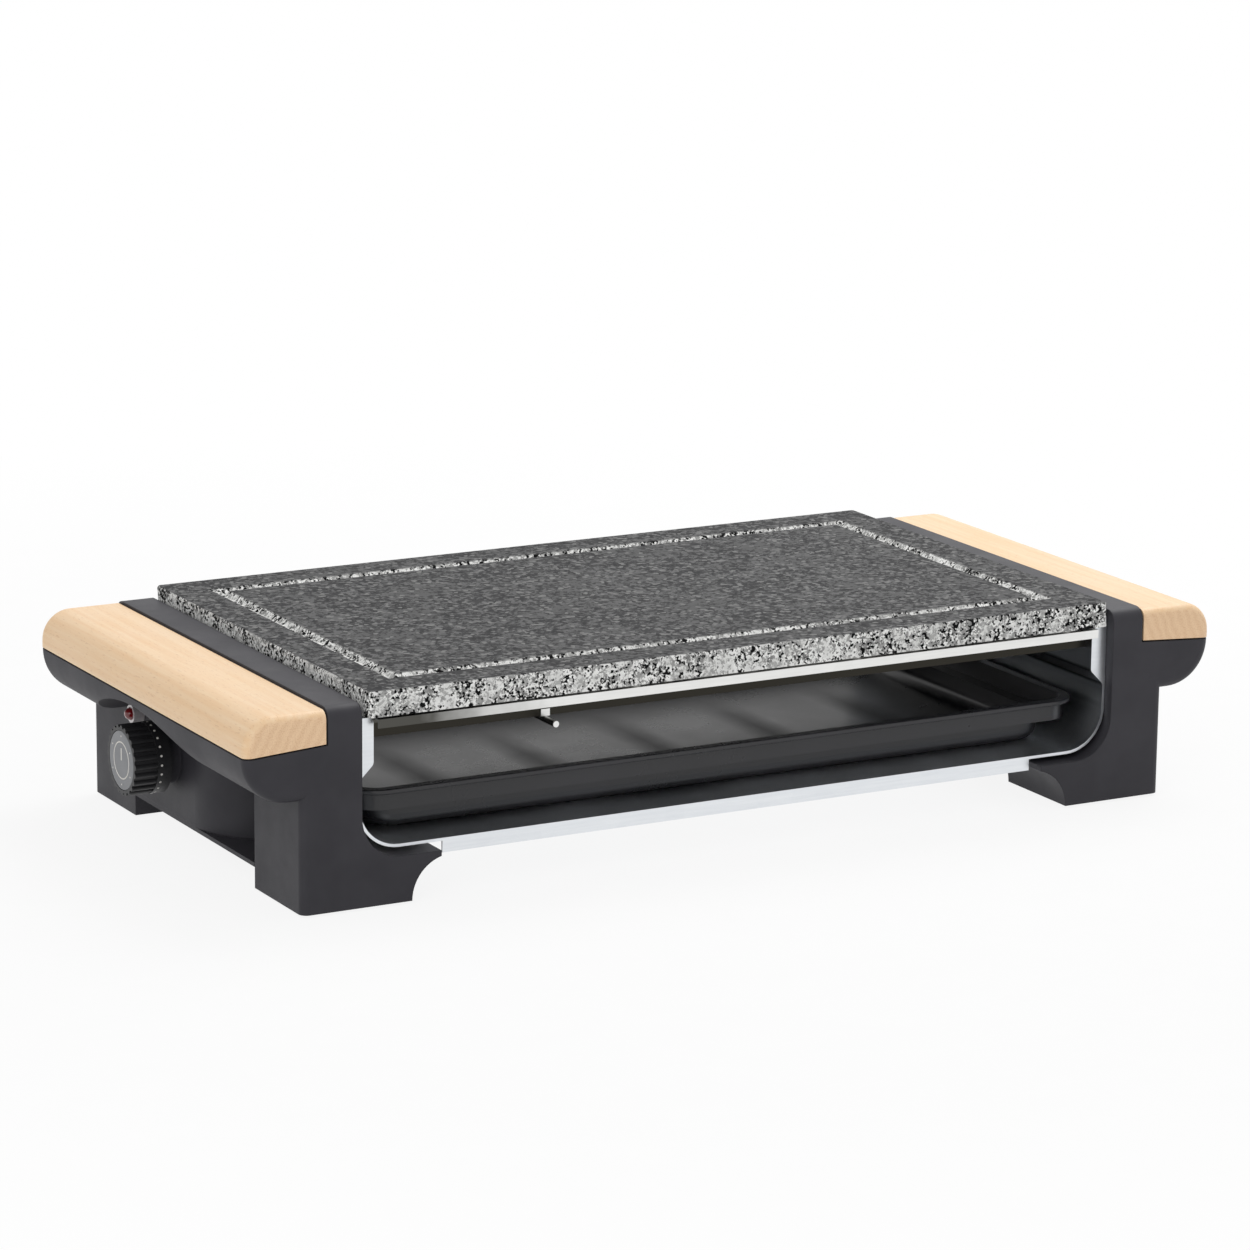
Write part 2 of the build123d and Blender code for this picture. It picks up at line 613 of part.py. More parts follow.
def front_rail():
    """Steel channel between the trough walls, with nubs for the stone and a tab on its rear leg."""
    half = UPPER_WALL_X
    rail_bottom = RAIL_TOP - RAIL_HEIGHT
    leg_y = RAIL_FLANGE - RAIL_FACE_Y - SHEET
    rail = slab((-half, half), (-RAIL_FACE_Y, SHEET - RAIL_FACE_Y), (rail_bottom, RAIL_TOP))
    rail += slab((-half, half), (-RAIL_FACE_Y, leg_y + SHEET), (RAIL_TOP - SHEET, RAIL_TOP))
    rail += slab((-half, half), (leg_y, leg_y + SHEET), (RAIL_LEG_BOTTOM, RAIL_TOP))
    nub_y = RAIL_FLANGE / 2 - RAIL_FACE_Y
    for step in range(NUB_COUNT):
        nub_x = (step - (NUB_COUNT - 1) / 2) * NUB_SPACING
        rail += Pos(nub_x, nub_y, RAIL_TOP) * rod(NUB_DIAMETER, NUB_HEIGHT)
    rail += slab(
        (-ROD_OUTREACH - TAB_WIDTH / 2, TAB_WIDTH / 2 - ROD_OUTREACH),
        (leg_y - SHEET, leg_y),
        (RAIL_LEG_BOTTOM, RAIL_LEG_BOTTOM + TAB_HEIGHT),
    )
    return rail


def element_rod():
    """Plain rod from front to back under the rails, which carries the heater."""
    start = Plane(origin=(-ROD_OUTREACH, -HALF_DEPTH, ROD_TOP - ROD_DIAMETER / 2), z_dir=(0, 1, 0))
    return start * rod(ROD_DIAMETER, STONE_WIDTH)


def element_rest():
    """Bent brackets on the right trough wall, under the right-hand turns of the heater."""
    inner_x = ELEMENT_RIGHT_REACH - ELEMENT_DIAMETER / 2 - REST_OVERREACH
    top = ELEMENT_HEIGHT - ELEMENT_DIAMETER / 2
    rests = []
    for turn in (-1, 1):
        middle = turn * ELEMENT_RUN_SPACING
        across = (middle - REST_WIDTH / 2, middle + REST_WIDTH / 2)
        rest = slab((inner_x, UPPER_WALL_X), across, (top - REST_THICKNESS, top))
        rest += slab((UPPER_WALL_X - REST_THICKNESS, UPPER_WALL_X), across, (top - REST_UPRIGHT, top))
        rests.append(rest)
    return rests


def element_tail_places():
    """Places along the depth of the two ends of the heater."""
    reach = (ELEMENT_RUN_COUNT - 1) / 2 * ELEMENT_RUN_SPACING
    return [-reach, reach]


def heating_element():
    """One tube bent into four runs, with both ends in the left housing."""
    tail_x = -UPPER_WALL_X - ELEMENT_TAIL
    runs = [(step - (ELEMENT_RUN_COUNT - 1) / 2) * ELEMENT_RUN_SPACING for step in range(ELEMENT_RUN_COUNT)]
    path = FilletPolyline(
        (tail_x, runs[0]),
        (ELEMENT_RIGHT_REACH, runs[0]),
        (ELEMENT_RIGHT_REACH, runs[1]),
        (-ELEMENT_LEFT_REACH, runs[1]),
        (-ELEMENT_LEFT_REACH, runs[2]),
        (ELEMENT_RIGHT_REACH, runs[2]),
        (ELEMENT_RIGHT_REACH, runs[3]),
        (tail_x, runs[3]),
        radius=ELEMENT_TURN_RADIUS,
    )
    start = Plane(origin=path @ 0, z_dir=path % 0)
    return Pos(0, 0, ELEMENT_HEIGHT) * sweep(start * Circle(ELEMENT_DIAMETER / 2), path=path)


def element_plates():
    """Plates that hold the ends of the heater against the left trough wall."""
    plates = []
    for y in element_tail_places():
        plate = slab(
            (-UPPER_WALL_X, ELEMENT_PLATE_THICKNESS - UPPER_WALL_X),
            (y - ELEMENT_PLATE_LENGTH / 2, y + ELEMENT_PLATE_LENGTH / 2),
            (ELEMENT_HEIGHT - ELEMENT_PLATE_HEIGHT / 2, ELEMENT_HEIGHT + ELEMENT_PLATE_HEIGHT / 2),
        )
        hole = outward(-UPPER_WALL_X, y, ELEMENT_HEIGHT)
        plate -= hole * rod(ELEMENT_DIAMETER + 2 * HOLE_CLEARANCE, ELEMENT_PLATE_THICKNESS)
        plates.append(plate)
    return plates


def element_terminals():
    """Contact pins on the ends of the heater."""
    start_x = -UPPER_WALL_X - ELEMENT_TAIL - TERMINAL_LENGTH
    pin = rod(TERMINAL_DIAMETER, TERMINAL_LENGTH)
    return [outward(start_x, y, ELEMENT_HEIGHT) * pin for y in element_tail_places()]


def thermostat_body():
    """Round thermostat with its mounting plate and a bushing through the panel."""
    plate_x = PANEL_INNER_X - THERMOSTAT_PLATE_THICKNESS
    centre = (KNOB_CENTRE_Y, KNOB_CENTRE_HEIGHT)
    body = outward(plate_x - THERMOSTAT_LENGTH, *centre) * rod(THERMOSTAT_DIAMETER, THERMOSTAT_LENGTH)
    ears = SlotOverall(THERMOSTAT_EAR_LENGTH, THERMOSTAT_EAR_WIDTH)
    body += extrude(outward(plate_x, *centre) * ears, amount=THERMOSTAT_PLATE_THICKNESS)
    bushing_length = HOUSING_WALL + KNOB_BOSS_LENGTH + NUT_THICKNESS + BUSHING_SHOW
    body += outward(PANEL_INNER_X, *centre) * rod(BUSHING_DIAMETER, bushing_length)
    bore = SHAFT_DIAMETER + 2 * HOLE_CLEARANCE
    bore_length = SHAFT_TAIL + SLIP_CLEARANCE + bushing_length + THERMOSTAT_PLATE_THICKNESS
    body -= outward(plate_x - SHAFT_TAIL - SLIP_CLEARANCE, *centre) * rod(bore, bore_length)
    return body


def thermostat_nut():
    """Hexagon nut that clamps the bushing to the boss."""
    face = outward(LEG_OUTER_X + KNOB_BOSS_LENGTH, KNOB_CENTRE_Y, KNOB_CENTRE_HEIGHT)
    blank = RegularPolygon(NUT_WIDTH / 2, 6, major_radius=False)
    blank -= Circle(BUSHING_DIAMETER / 2 + HOLE_CLEARANCE)
    return extrude(face * blank, amount=NUT_THICKNESS)


def flatted(diameter):
    """Round section with one flat, for the shaft and the knob's bore."""
    flat_y = diameter * (SHAFT_FLAT_SHARE + 1) / 2
    return Circle(diameter / 2) - Pos(0, flat_y - diameter / 4) * Rectangle(diameter, diameter / 2)


def knob_web_x():
    """Where the solid web of the knob starts, behind its front."""
    return KNOB_BACK_X + KNOB_BACK_RECESS


def thermostat_shaft():
    """Turned spindle from the thermostat into the knob."""
    start_x = PANEL_INNER_X - THERMOSTAT_PLATE_THICKNESS - SHAFT_TAIL
    centre = (KNOB_CENTRE_Y, KNOB_CENTRE_HEIGHT)
    shaft = outward(start_x, *centre) * rod(SHAFT_DIAMETER, knob_web_x() - start_x)
    shaft += extrude(outward(knob_web_x(), *centre) * flatted(SHAFT_DIAMETER), amount=SHAFT_KNOB_DEPTH)
    return shaft


def knob():
    """Ribbed knob with a wider skirt, hollow behind and recessed in front for its disc."""
    centre = (KNOB_CENTRE_Y, KNOB_CENTRE_HEIGHT)
    length = KNOB_SKIRT_LENGTH + KNOB_GRIP_LENGTH
    grip = Circle(KNOB_GRIP_DIAMETER / 2)
    for rib_place in PolarLocations(KNOB_GRIP_DIAMETER / 2, KNOB_RIB_COUNT):
        grip += rib_place * Circle(KNOB_RIB_RADIUS)
    body = extrude(outward(KNOB_BACK_X, *centre) * grip, amount=length)
    body += outward(KNOB_BACK_X, *centre) * rod(KNOB_SKIRT_DIAMETER, KNOB_SKIRT_LENGTH)
    recess_diameter = KNOB_GRIP_DIAMETER - 2 * KNOB_WALL
    body -= outward(KNOB_BACK_X, *centre) * rod(recess_diameter, KNOB_BACK_RECESS)
    bore = flatted(SHAFT_DIAMETER + 2 * HOLE_CLEARANCE)
    body -= extrude(outward(knob_web_x(), *centre) * bore, amount=SHAFT_KNOB_DEPTH)
    face_x = KNOB_BACK_X + length - KNOB_FACE_THICKNESS
    body -= outward(face_x, *centre) * rod(KNOB_FACE_DIAMETER + 2 * HOLE_CLEARANCE, KNOB_FACE_THICKNESS)
    return body


def knob_face():
    """Disc set in the front of the knob."""
    face_x = KNOB_BACK_X + KNOB_SKIRT_LENGTH + KNOB_GRIP_LENGTH - KNOB_FACE_THICKNESS
    disc = rod(KNOB_FACE_DIAMETER, KNOB_FACE_THICKNESS)
    disc = fillet(disc.edges().group_by(Axis.Z)[-1], KNOB_FACE_EDGE_RADIUS)
    return outward(face_x, KNOB_CENTRE_Y, KNOB_CENTRE_HEIGHT) * disc


def indicator_bezel():
    """Clear sleeve of the heating lamp, with its barrel through the panel."""
    centre = (LAMP_CENTRE_Y, LAMP_CENTRE_HEIGHT)
    bezel = outward(LEG_OUTER_X, *centre) * rod(LAMP_BEZEL_DIAMETER, LAMP_BEZEL_LENGTH)
    bezel += outward(LEG_OUTER_X - LAMP_BARREL_LENGTH, *centre) * rod(
        LAMP_BARREL_DIAMETER, LAMP_BARREL_LENGTH
    )
    pocket_x = LEG_OUTER_X + LAMP_BEZEL_LENGTH - LAMP_LENS_LENGTH
    bezel -= outward(pocket_x, *centre) * rod(LAMP_LENS_DIAMETER + 2 * HOLE_CLEARANCE, LAMP_LENS_LENGTH)
    return bezel


def indicator_lens():
    """Domed red lens in the sleeve."""
    pocket_x = LEG_OUTER_X + LAMP_BEZEL_LENGTH - LAMP_LENS_LENGTH
    lens = rod(LAMP_LENS_DIAMETER, LAMP_LENS_LENGTH)
    dome = Sphere(LAMP_LENS_DIAMETER / 2, arc_size1=0, align=(Align.CENTER, Align.CENTER, Align.MIN))
    lens += Pos(0, 0, LAMP_LENS_LENGTH) * dome
    return outward(pocket_x, LAMP_CENTRE_Y, LAMP_CENTRE_HEIGHT) * lens


def cord_gland():
    """Bushing of the mains inlet, set flush in the back of the left housing."""
    inlet = Plane(origin=(GLAND_OUTREACH, HALF_DEPTH, GLAND_HEIGHT), z_dir=(0, -1, 0))
    gland = rod(GLAND_FLANGE_DIAMETER, GLAND_FLANGE_THICKNESS) + rod(GLAND_BODY_DIAMETER, GLAND_BODY_LENGTH)
    return inlet * (gland - rod(GLAND_BORE, GLAND_BODY_LENGTH))


def terminal_block():
    """Three-way block on the floor of the left housing, under the thermostat."""
    centre_x = PANEL_INNER_X - BLOCK_WIDTH / 2 - HOUSING_WALL
    bottom = SKIRT_HEIGHT + HOUSING_WALL
    block = Pos(centre_x, KNOB_CENTRE_Y, bottom + BLOCK_HEIGHT / 2) * Box(
        BLOCK_WIDTH, BLOCK_LENGTH, BLOCK_HEIGHT
    )
    way_pitch = BLOCK_LENGTH / BLOCK_WAY_COUNT
    for step in range(BLOCK_WAY_COUNT):
        y = KNOB_CENTRE_Y + (step - (BLOCK_WAY_COUNT - 1) / 2) * way_pitch
        way = outward(centre_x - BLOCK_WIDTH / 2, y, bottom + BLOCK_HEIGHT / 2)
        block -= way * rod(BLOCK_WAY_DIAMETER, BLOCK_WIDTH)
    return block


def tray_outline(inset, radius):
    """Rounded rectangle of the tray, drawn in from its rim."""
    half_x = WALL_X - TRAY_SIDE_GAP - inset
    front = TRAY_FRONT_SETBACK - HALF_DEPTH + inset
    back = HALF_DEPTH - TRAY_BACK_SETBACK - inset
    outline = RectangleRounded(2 * half_x, back - front, radius)
    return Pos(0, (front + back) / 2) * outline


def drip_tray():
    """Pressed tray with a rolled rim, an upper band and a narrower body below the step."""
    bottom = FLOOR_TOP + TRAY_FLOOR_GAP
    top = bottom + TRAY_HEIGHT
    step = top - TRAY_BAND_HEIGHT
    band_radius = TRAY_CORNER_RADIUS - TRAY_RIM_WIDTH
    body_inset = TRAY_RIM_WIDTH + TRAY_STEP
    body = extrude(tray_outline(body_inset, TRAY_BODY_CORNER_RADIUS), amount=TRAY_HEIGHT)
    body = fillet(body.edges().group_by(Axis.Z)[0], TRAY_FOOT_RADIUS)
    tray = Pos(0, 0, bottom) * body
    tray += Pos(0, 0, step) * extrude(tray_outline(TRAY_RIM_WIDTH, band_radius), amount=TRAY_BAND_HEIGHT)
    rim = extrude(tray_outline(0, TRAY_CORNER_RADIUS), amount=TRAY_RIM_HEIGHT)
    rim = fillet(rim.edges().filter_by(Plane.XY), TRAY_RIM_EDGE_RADIUS)
    tray += Pos(0, 0, top - TRAY_RIM_HEIGHT) * rim
    hollow = extrude(
        tray_outline(body_inset + TRAY_SHEET, TRAY_BODY_CORNER_RADIUS - TRAY_SHEET), amount=TRAY_HEIGHT
    )
    hollow = fillet(hollow.edges().group_by(Axis.Z)[0], TRAY_FOOT_RADIUS - TRAY_SHEET)
    tray -= Pos(0, 0, bottom + TRAY_SHEET) * hollow
    tray -= Pos(0, 0, step + TRAY_SHEET) * extrude(
        tray_outline(TRAY_RIM_WIDTH + TRAY_SHEET, band_radius - TRAY_SHEET), amount=TRAY_BAND_HEIGHT
    )
    return tray


def stone_slab():
    """Stone plate with a juice groove all round its top."""
    plate = extrude(RectangleRounded(STONE_LENGTH, STONE_WIDTH, STONE_CORNER_RADIUS), amount=STONE_THICKNESS)
    plate = fillet(plate.edges().group_by(Axis.Z)[-1], STONE_EDGE_RADIUS)
    length = STONE_LENGTH - 2 * GROOVE_INSET
    width = STONE_WIDTH - 2 * GROOVE_INSET
    outer_land = GROOVE_WIDTH * (1 - GROOVE_LAND_SHARE) / 2
    inner = GROOVE_WIDTH - outer_land
    groove = loft([
        Rectangle(length, width),
        Pos(0, 0, -GROOVE_DEPTH) * Rectangle(length - 2 * outer_land, width - 2 * outer_land),
    ])
    island = loft([
        Rectangle(length - 2 * GROOVE_WIDTH, width - 2 * GROOVE_WIDTH),
        Pos(0, 0, -GROOVE_DEPTH) * Rectangle(length - 2 * inner, width - 2 * inner),
    ])
    plate -= Pos(0, 0, STONE_THICKNESS) * (groove - island)
    return Pos(0, 0, STONE_BOTTOM) * plate


def group(pieces):
    """Several separate solids under one name."""
    return Compound(children=[piece for piece in pieces])


def both_ends(pieces):
    """The same pieces at the right and left ends, as one group."""
    return group(pieces + [mirrored(piece) for piece in pieces])


def build():
    """All pieces of the grill by name."""
    rail = front_rail()
    return {
        "left_housing": mirrored(housing(control=True)),
        "right_housing": housing(control=False),
        "left_bottom_cover": mirrored(bottom_cover()),
        "right_bottom_cover": bottom_cover(),
        "cover_screws": both_ends(cover_screws()),
        "foot_pads": both_ends(foot_pads()),
        "left_handle": mirrored(handle()),
        "right_handle": handle(),
        "handle_screws": both_ends(handle_screws()),
        "reflector_trough": reflector_trough(),
        "trough_screws": both_ends(trough_screws()),
        "front_rail": rail,
        "rear_rail": mirror(rail, about=Plane.XZ),
        "element_rod": element_rod(),
        "element_rest": group(element_rest()),
        "heating_element": heating_element(),
        "element_plates": group(element_plates()),
        "element_terminals": group(element_terminals()),
        "thermostat_body": mirrored(thermostat_body()),
        "thermostat_nut": mirrored(thermostat_nut()),
        "thermostat_shaft": mirrored(thermostat_shaft()),
        "knob": mirrored(knob()),
        "knob_face": mirrored(knob_face()),
        "indicator_bezel": mirrored(indicator_bezel()),
        "indicator_lens": mirrored(indicator_lens()),
        "cord_gland": mirrored(cord_gland()),
        "terminal_block": mirrored(terminal_block()),
        "drip_tray": drip_tray(),
        "stone_slab": stone_slab(),
    }


os.makedirs("parts", exist_ok=True)
for name, piece in build().items():
    export_step(piece, os.path.join("parts", name + ".step"))
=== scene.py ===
import logging
import math
from collections.abc import Callable
from dataclasses import dataclass
from enum import Enum
from typing import Any, ClassVar

import bmesh
import bpy
from mathutils import Matrix, Vector


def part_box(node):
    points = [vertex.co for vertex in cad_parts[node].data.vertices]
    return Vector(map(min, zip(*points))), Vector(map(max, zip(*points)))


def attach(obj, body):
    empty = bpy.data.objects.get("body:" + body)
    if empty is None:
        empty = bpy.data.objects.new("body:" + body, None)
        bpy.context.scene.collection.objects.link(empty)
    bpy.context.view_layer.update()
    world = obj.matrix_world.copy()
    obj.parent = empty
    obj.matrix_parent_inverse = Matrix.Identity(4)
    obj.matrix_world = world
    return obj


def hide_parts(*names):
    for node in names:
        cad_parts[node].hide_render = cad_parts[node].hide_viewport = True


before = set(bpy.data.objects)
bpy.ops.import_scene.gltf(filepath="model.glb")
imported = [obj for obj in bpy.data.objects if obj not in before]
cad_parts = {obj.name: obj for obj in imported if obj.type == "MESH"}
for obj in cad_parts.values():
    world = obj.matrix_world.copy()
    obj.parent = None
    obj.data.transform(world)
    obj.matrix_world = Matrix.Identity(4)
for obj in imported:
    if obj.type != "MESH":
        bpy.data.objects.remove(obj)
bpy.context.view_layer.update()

Colour = tuple[float, float, float, float]
Span = tuple[float, float]
Triple = tuple[float, float, float]
Socket = bpy.types.NodeSocket

log = logging.getLogger("table_grill")
MM = 0.001
BLACK: Colour = (0.0, 0.0, 0.0, 1.0)
WHITE: Colour = (1.0, 1.0, 1.0, 1.0)
WHOLE: Span = (0.0, 1.0)


class Body(Enum):
    """Bodies that the new pieces ride on."""

    STONE = "stone"
    KNOB = "knob"


class Axis(Enum):
    """Directions of the shared frame."""

    X = "X"
    Y = "Y"
    Z = "Z"


class Operation(Enum):
    """What is done with values, by Blender's names."""

    PLUS = "ADD"
    MINUS = "SUBTRACT"
    TIMES = "MULTIPLY"
    LARGER = "MAXIMUM"
    SMALLER = "MINIMUM"
    UNSIGNED = "ABSOLUTE"
    TO_AND_FRO = "PINGPONG"


class MeshPart(Enum):
    """What is selected on a mesh, by Blender's names."""

    FACE = "FACE"
    EDGE = "EDGE"


class Slot(Enum):
    """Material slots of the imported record."""

    HOUSING = "housing_plastic"
    COVER = "cover_plastic"
    BEECH = "beech"
    STONE = "stone"
    SHEET = "galvanised_sheet"
    RAIL = "rail_steel"
    HEATER = "heater_tube"
    FASTENER = "fastener_steel"
    TRAY = "tray_enamel"
    KNOB = "knob_plastic"
    DISC = "knob_disc"
    LAMP_CLEAR = "lamp_clear"
    LAMP_RED = "lamp_red"
    RUBBER = "rubber_black"
    CERAMIC = "ceramic_white"
    BRASS = "brass_plain"


def tone(red: int, green: int, blue: int) -> Colour:
    """Linear colour of an eight-bit screen colour, by the usual curve of screens.

    Args:
        red: Red, from 0 to 255.
        green: Green, from 0 to 255.
        blue: Blue, from 0 to 255.

    Returns:
        The colour, opaque.
    """
    shares = (value / 255 for value in (red, green, blue))
    linear = (s / 12.92 if s <= 0.04045 else ((s + 0.055) / 1.055) ** 2.4 for s in shares)
    return (*linear, 1.0)


@dataclass(frozen=True)
class Noise:
    """Character of a cloudy noise.

    Args:
        detail: Number of finer layers.
        rough: Weight of each finer layer.
    """

    detail: float = 4.0
    rough: float = 0.55


class Sheet:
    """Short ways to add and join the nodes of one node tree."""

    SPACING: ClassVar[float] = 180.0

    def __init__(self, tree: bpy.types.NodeTree) -> None:
        """Starts on a tree."""
        self.tree = tree

    def feed(self, socket: Socket, value: Any) -> None:
        """Joins another socket to an input, or gives it a plain value.

        Args:
            socket: Input of a node.
            value: Another socket or a plain value.
        """
        if isinstance(value, Socket):
            self.tree.links.new(value, socket)
        else:
            socket.default_value = value

    def add(self, kind: str, inputs: dict[str | int, Any] | None = None, **settings: Any) -> bpy.types.Node:
        """Adds a node.

        Args:
            kind: Blender's name of the node type.
            inputs: What goes into its sockets, other sockets or plain values.
            settings: Properties of the node.

        Returns:
            The new node.
        """
        node = self.tree.nodes.new(kind)
        node.location.x = self.SPACING * len(self.tree.nodes)
        for name, value in settings.items():
            setattr(node, name, value)
        for key, value in (inputs or {}).items():
            self.feed(node.inputs[key], value)
        return node

    def place(self) -> Socket:
        """Place on the piece in metres."""
        return self.add("ShaderNodeTexCoord").outputs["Object"]

    def facing(self) -> Socket:
        """Direction that the surface faces, in the piece's own frame."""
        return self.add("ShaderNodeTexCoord").outputs["Normal"]

    def stretch(self, place: Socket, scale: Triple) -> Socket:
        """Place with each axis scaled by itself."""
        return self.add("ShaderNodeMapping", {"Vector": place, "Scale": scale}).outputs[0]

    def noise(self, place: Socket, scale: float | Socket, kind: Noise = Noise()) -> Socket:
        """Cloudy noise from about 0.25 to 0.75."""
        inputs = {"Vector": place, "Scale": scale, "Detail": kind.detail, "Roughness": kind.rough}
        return self.add("ShaderNodeTexNoise", inputs).outputs[0]

    def cells(self, place: Socket, scale: float | Socket) -> bpy.types.Node:
        """Cell pattern with its distance and colour."""
        return self.add("ShaderNodeTexVoronoi", {"Vector": place, "Scale": scale}, feature="F1")

    def math(self, operation: Operation, *values: Socket | float) -> Socket:
        """Result of an operation on values."""
        return self.add("ShaderNodeMath", dict(enumerate(values)), operation=operation.value).outputs[0]

    def plus(self, first: Socket | float, second: Socket | float) -> Socket:
        """Sum of two values."""
        return self.math(Operation.PLUS, first, second)

    def times(self, first: Socket | float, second: Socket | float) -> Socket:
        """Product of two values."""
        return self.math(Operation.TIMES, first, second)

    def span(self, value: Socket, source: Span, target: Span = WHOLE) -> Socket:
        """Value in the source range brought to the target range, and kept there."""
        ends = {"From Min": source[0], "From Max": source[1], "To Min": target[0], "To Max": target[1]}
        return self.add("ShaderNodeMapRange", {"Value": value, **ends}, clamp=True).outputs[0]

    def axis(self, vector: Socket, axis: Axis) -> Socket:
        """One part of a vector."""
        return self.add("ShaderNodeSeparateXYZ", {0: vector}).outputs[axis.value]

    def reach(self, vector: Socket, axis: Axis) -> Socket:
        """One part of a vector without its sign."""
        return self.math(Operation.UNSIGNED, self.axis(vector, axis))

    def mixed(self, share: Socket | float, first: Socket | Colour, second: Socket | Colour) -> Socket:
        """First colour going over to the second.

        Args:
            share: Share of the second colour.
            first: Colour at a share of 0.
            second: Colour at a share of 1.

        Returns:
            The mixed colour.
        """
        node = self.add("ShaderNodeMix", data_type="RGBA")
        sockets = {socket.identifier: socket for socket in node.inputs}
        for key, value in (("Factor_Float", share), ("A_Color", first), ("B_Color", second)):
            self.feed(sockets[key], value)
        return next(socket for socket in node.outputs if socket.identifier == "Result_Color")

    def bump(self, height: Socket, depth: float, strength: float, base: Socket | None = None) -> Socket:
        """Normal of a surface with small heights on it.

        Args:
            height: Height, as a share of the depth.
            depth: Depth in metres.
            strength: Strength of the effect.
            base: Normal that it starts from, if not the surface's own.

        Returns:
            The normal.
        """
        inputs = {"Height": height, "Distance": depth, "Strength": strength}
        if base is not None:
            inputs["Normal"] = base
        return self.add("ShaderNodeBump", inputs).outputs[0]


class Pattern:
    """Node group that several finishes share."""

    NAME: ClassVar[str]
    INS: ClassVar[dict[str, str]] = {"Place": "NodeSocketVector", "Fineness": "NodeSocketFloat"}
    OUTS: ClassVar[tuple[str, ...]]

    @classmethod
    def draw(cls, sheet: Sheet, ins: bpy.types.Node) -> dict[str, Socket]:
        """Adds the group's nodes and returns what goes to its outputs."""
        raise NotImplementedError

    @classmethod
    def tree(cls) -> bpy.types.NodeTree:
        """Makes the group at its first use.

        Returns:
            The group's tree.
        """
        made = bpy.data.node_groups.get(cls.NAME)
        if made:
            return made
        tree = bpy.data.node_groups.new(cls.NAME, "ShaderNodeTree")
        for name, kind in cls.INS.items():
            tree.interface.new_socket(name, in_out="INPUT", socket_type=kind)
        for name in cls.OUTS:
            tree.interface.new_socket(name, in_out="OUTPUT", socket_type="NodeSocketFloat")
        sheet = Sheet(tree)
        results = cls.draw(sheet, sheet.add("NodeGroupInput"))
        sheet.add("NodeGroupOutput", results)
        return tree

    @classmethod
    def use(cls, sheet: Sheet, **inputs: Any) -> bpy.types.Node:
        """The group as a node of another tree."""
        return sheet.add("ShaderNodeGroup", inputs, node_tree=cls.tree())


class MouldGrain(Pattern):
    """Fine eroded grain of moulded plastic, and its slow change of shade."""

    NAME = "mould_grain"
    OUTS = ("Height", "Shade")
    GRAIN: ClassVar[Noise] = Noise(3.0, 0.6)
    PIT_FINENESS: ClassVar[float] = 0.7
    PIT_WEIGHT: ClassVar[float] = 0.5
    SHADES: ClassVar[Noise] = Noise(2.0)
    SHADE_FINENESS: ClassVar[float] = 0.02
    SHADE_SPAN: ClassVar[Span] = (0.35, 0.65)

    @classmethod
    def draw(cls, sheet: Sheet, ins: bpy.types.Node) -> dict[str, Socket]:
        """Draws the grain with its pits, and broad clouds of shade.

        Args:
            sheet: Sheet of the group's tree.
            ins: The group's inputs.

        Returns:
            What goes to the group's outputs.
        """
        place, fineness = ins.outputs["Place"], ins.outputs["Fineness"]
        grain = sheet.noise(place, fineness, cls.GRAIN)
        pits = sheet.cells(place, sheet.times(fineness, cls.PIT_FINENESS)).outputs["Distance"]
        shade = sheet.noise(place, sheet.times(fineness, cls.SHADE_FINENESS), cls.SHADES)
        return {
            "Height": sheet.plus(grain, sheet.times(pits, cls.PIT_WEIGHT)),
            "Shade": sheet.span(shade, cls.SHADE_SPAN),
        }


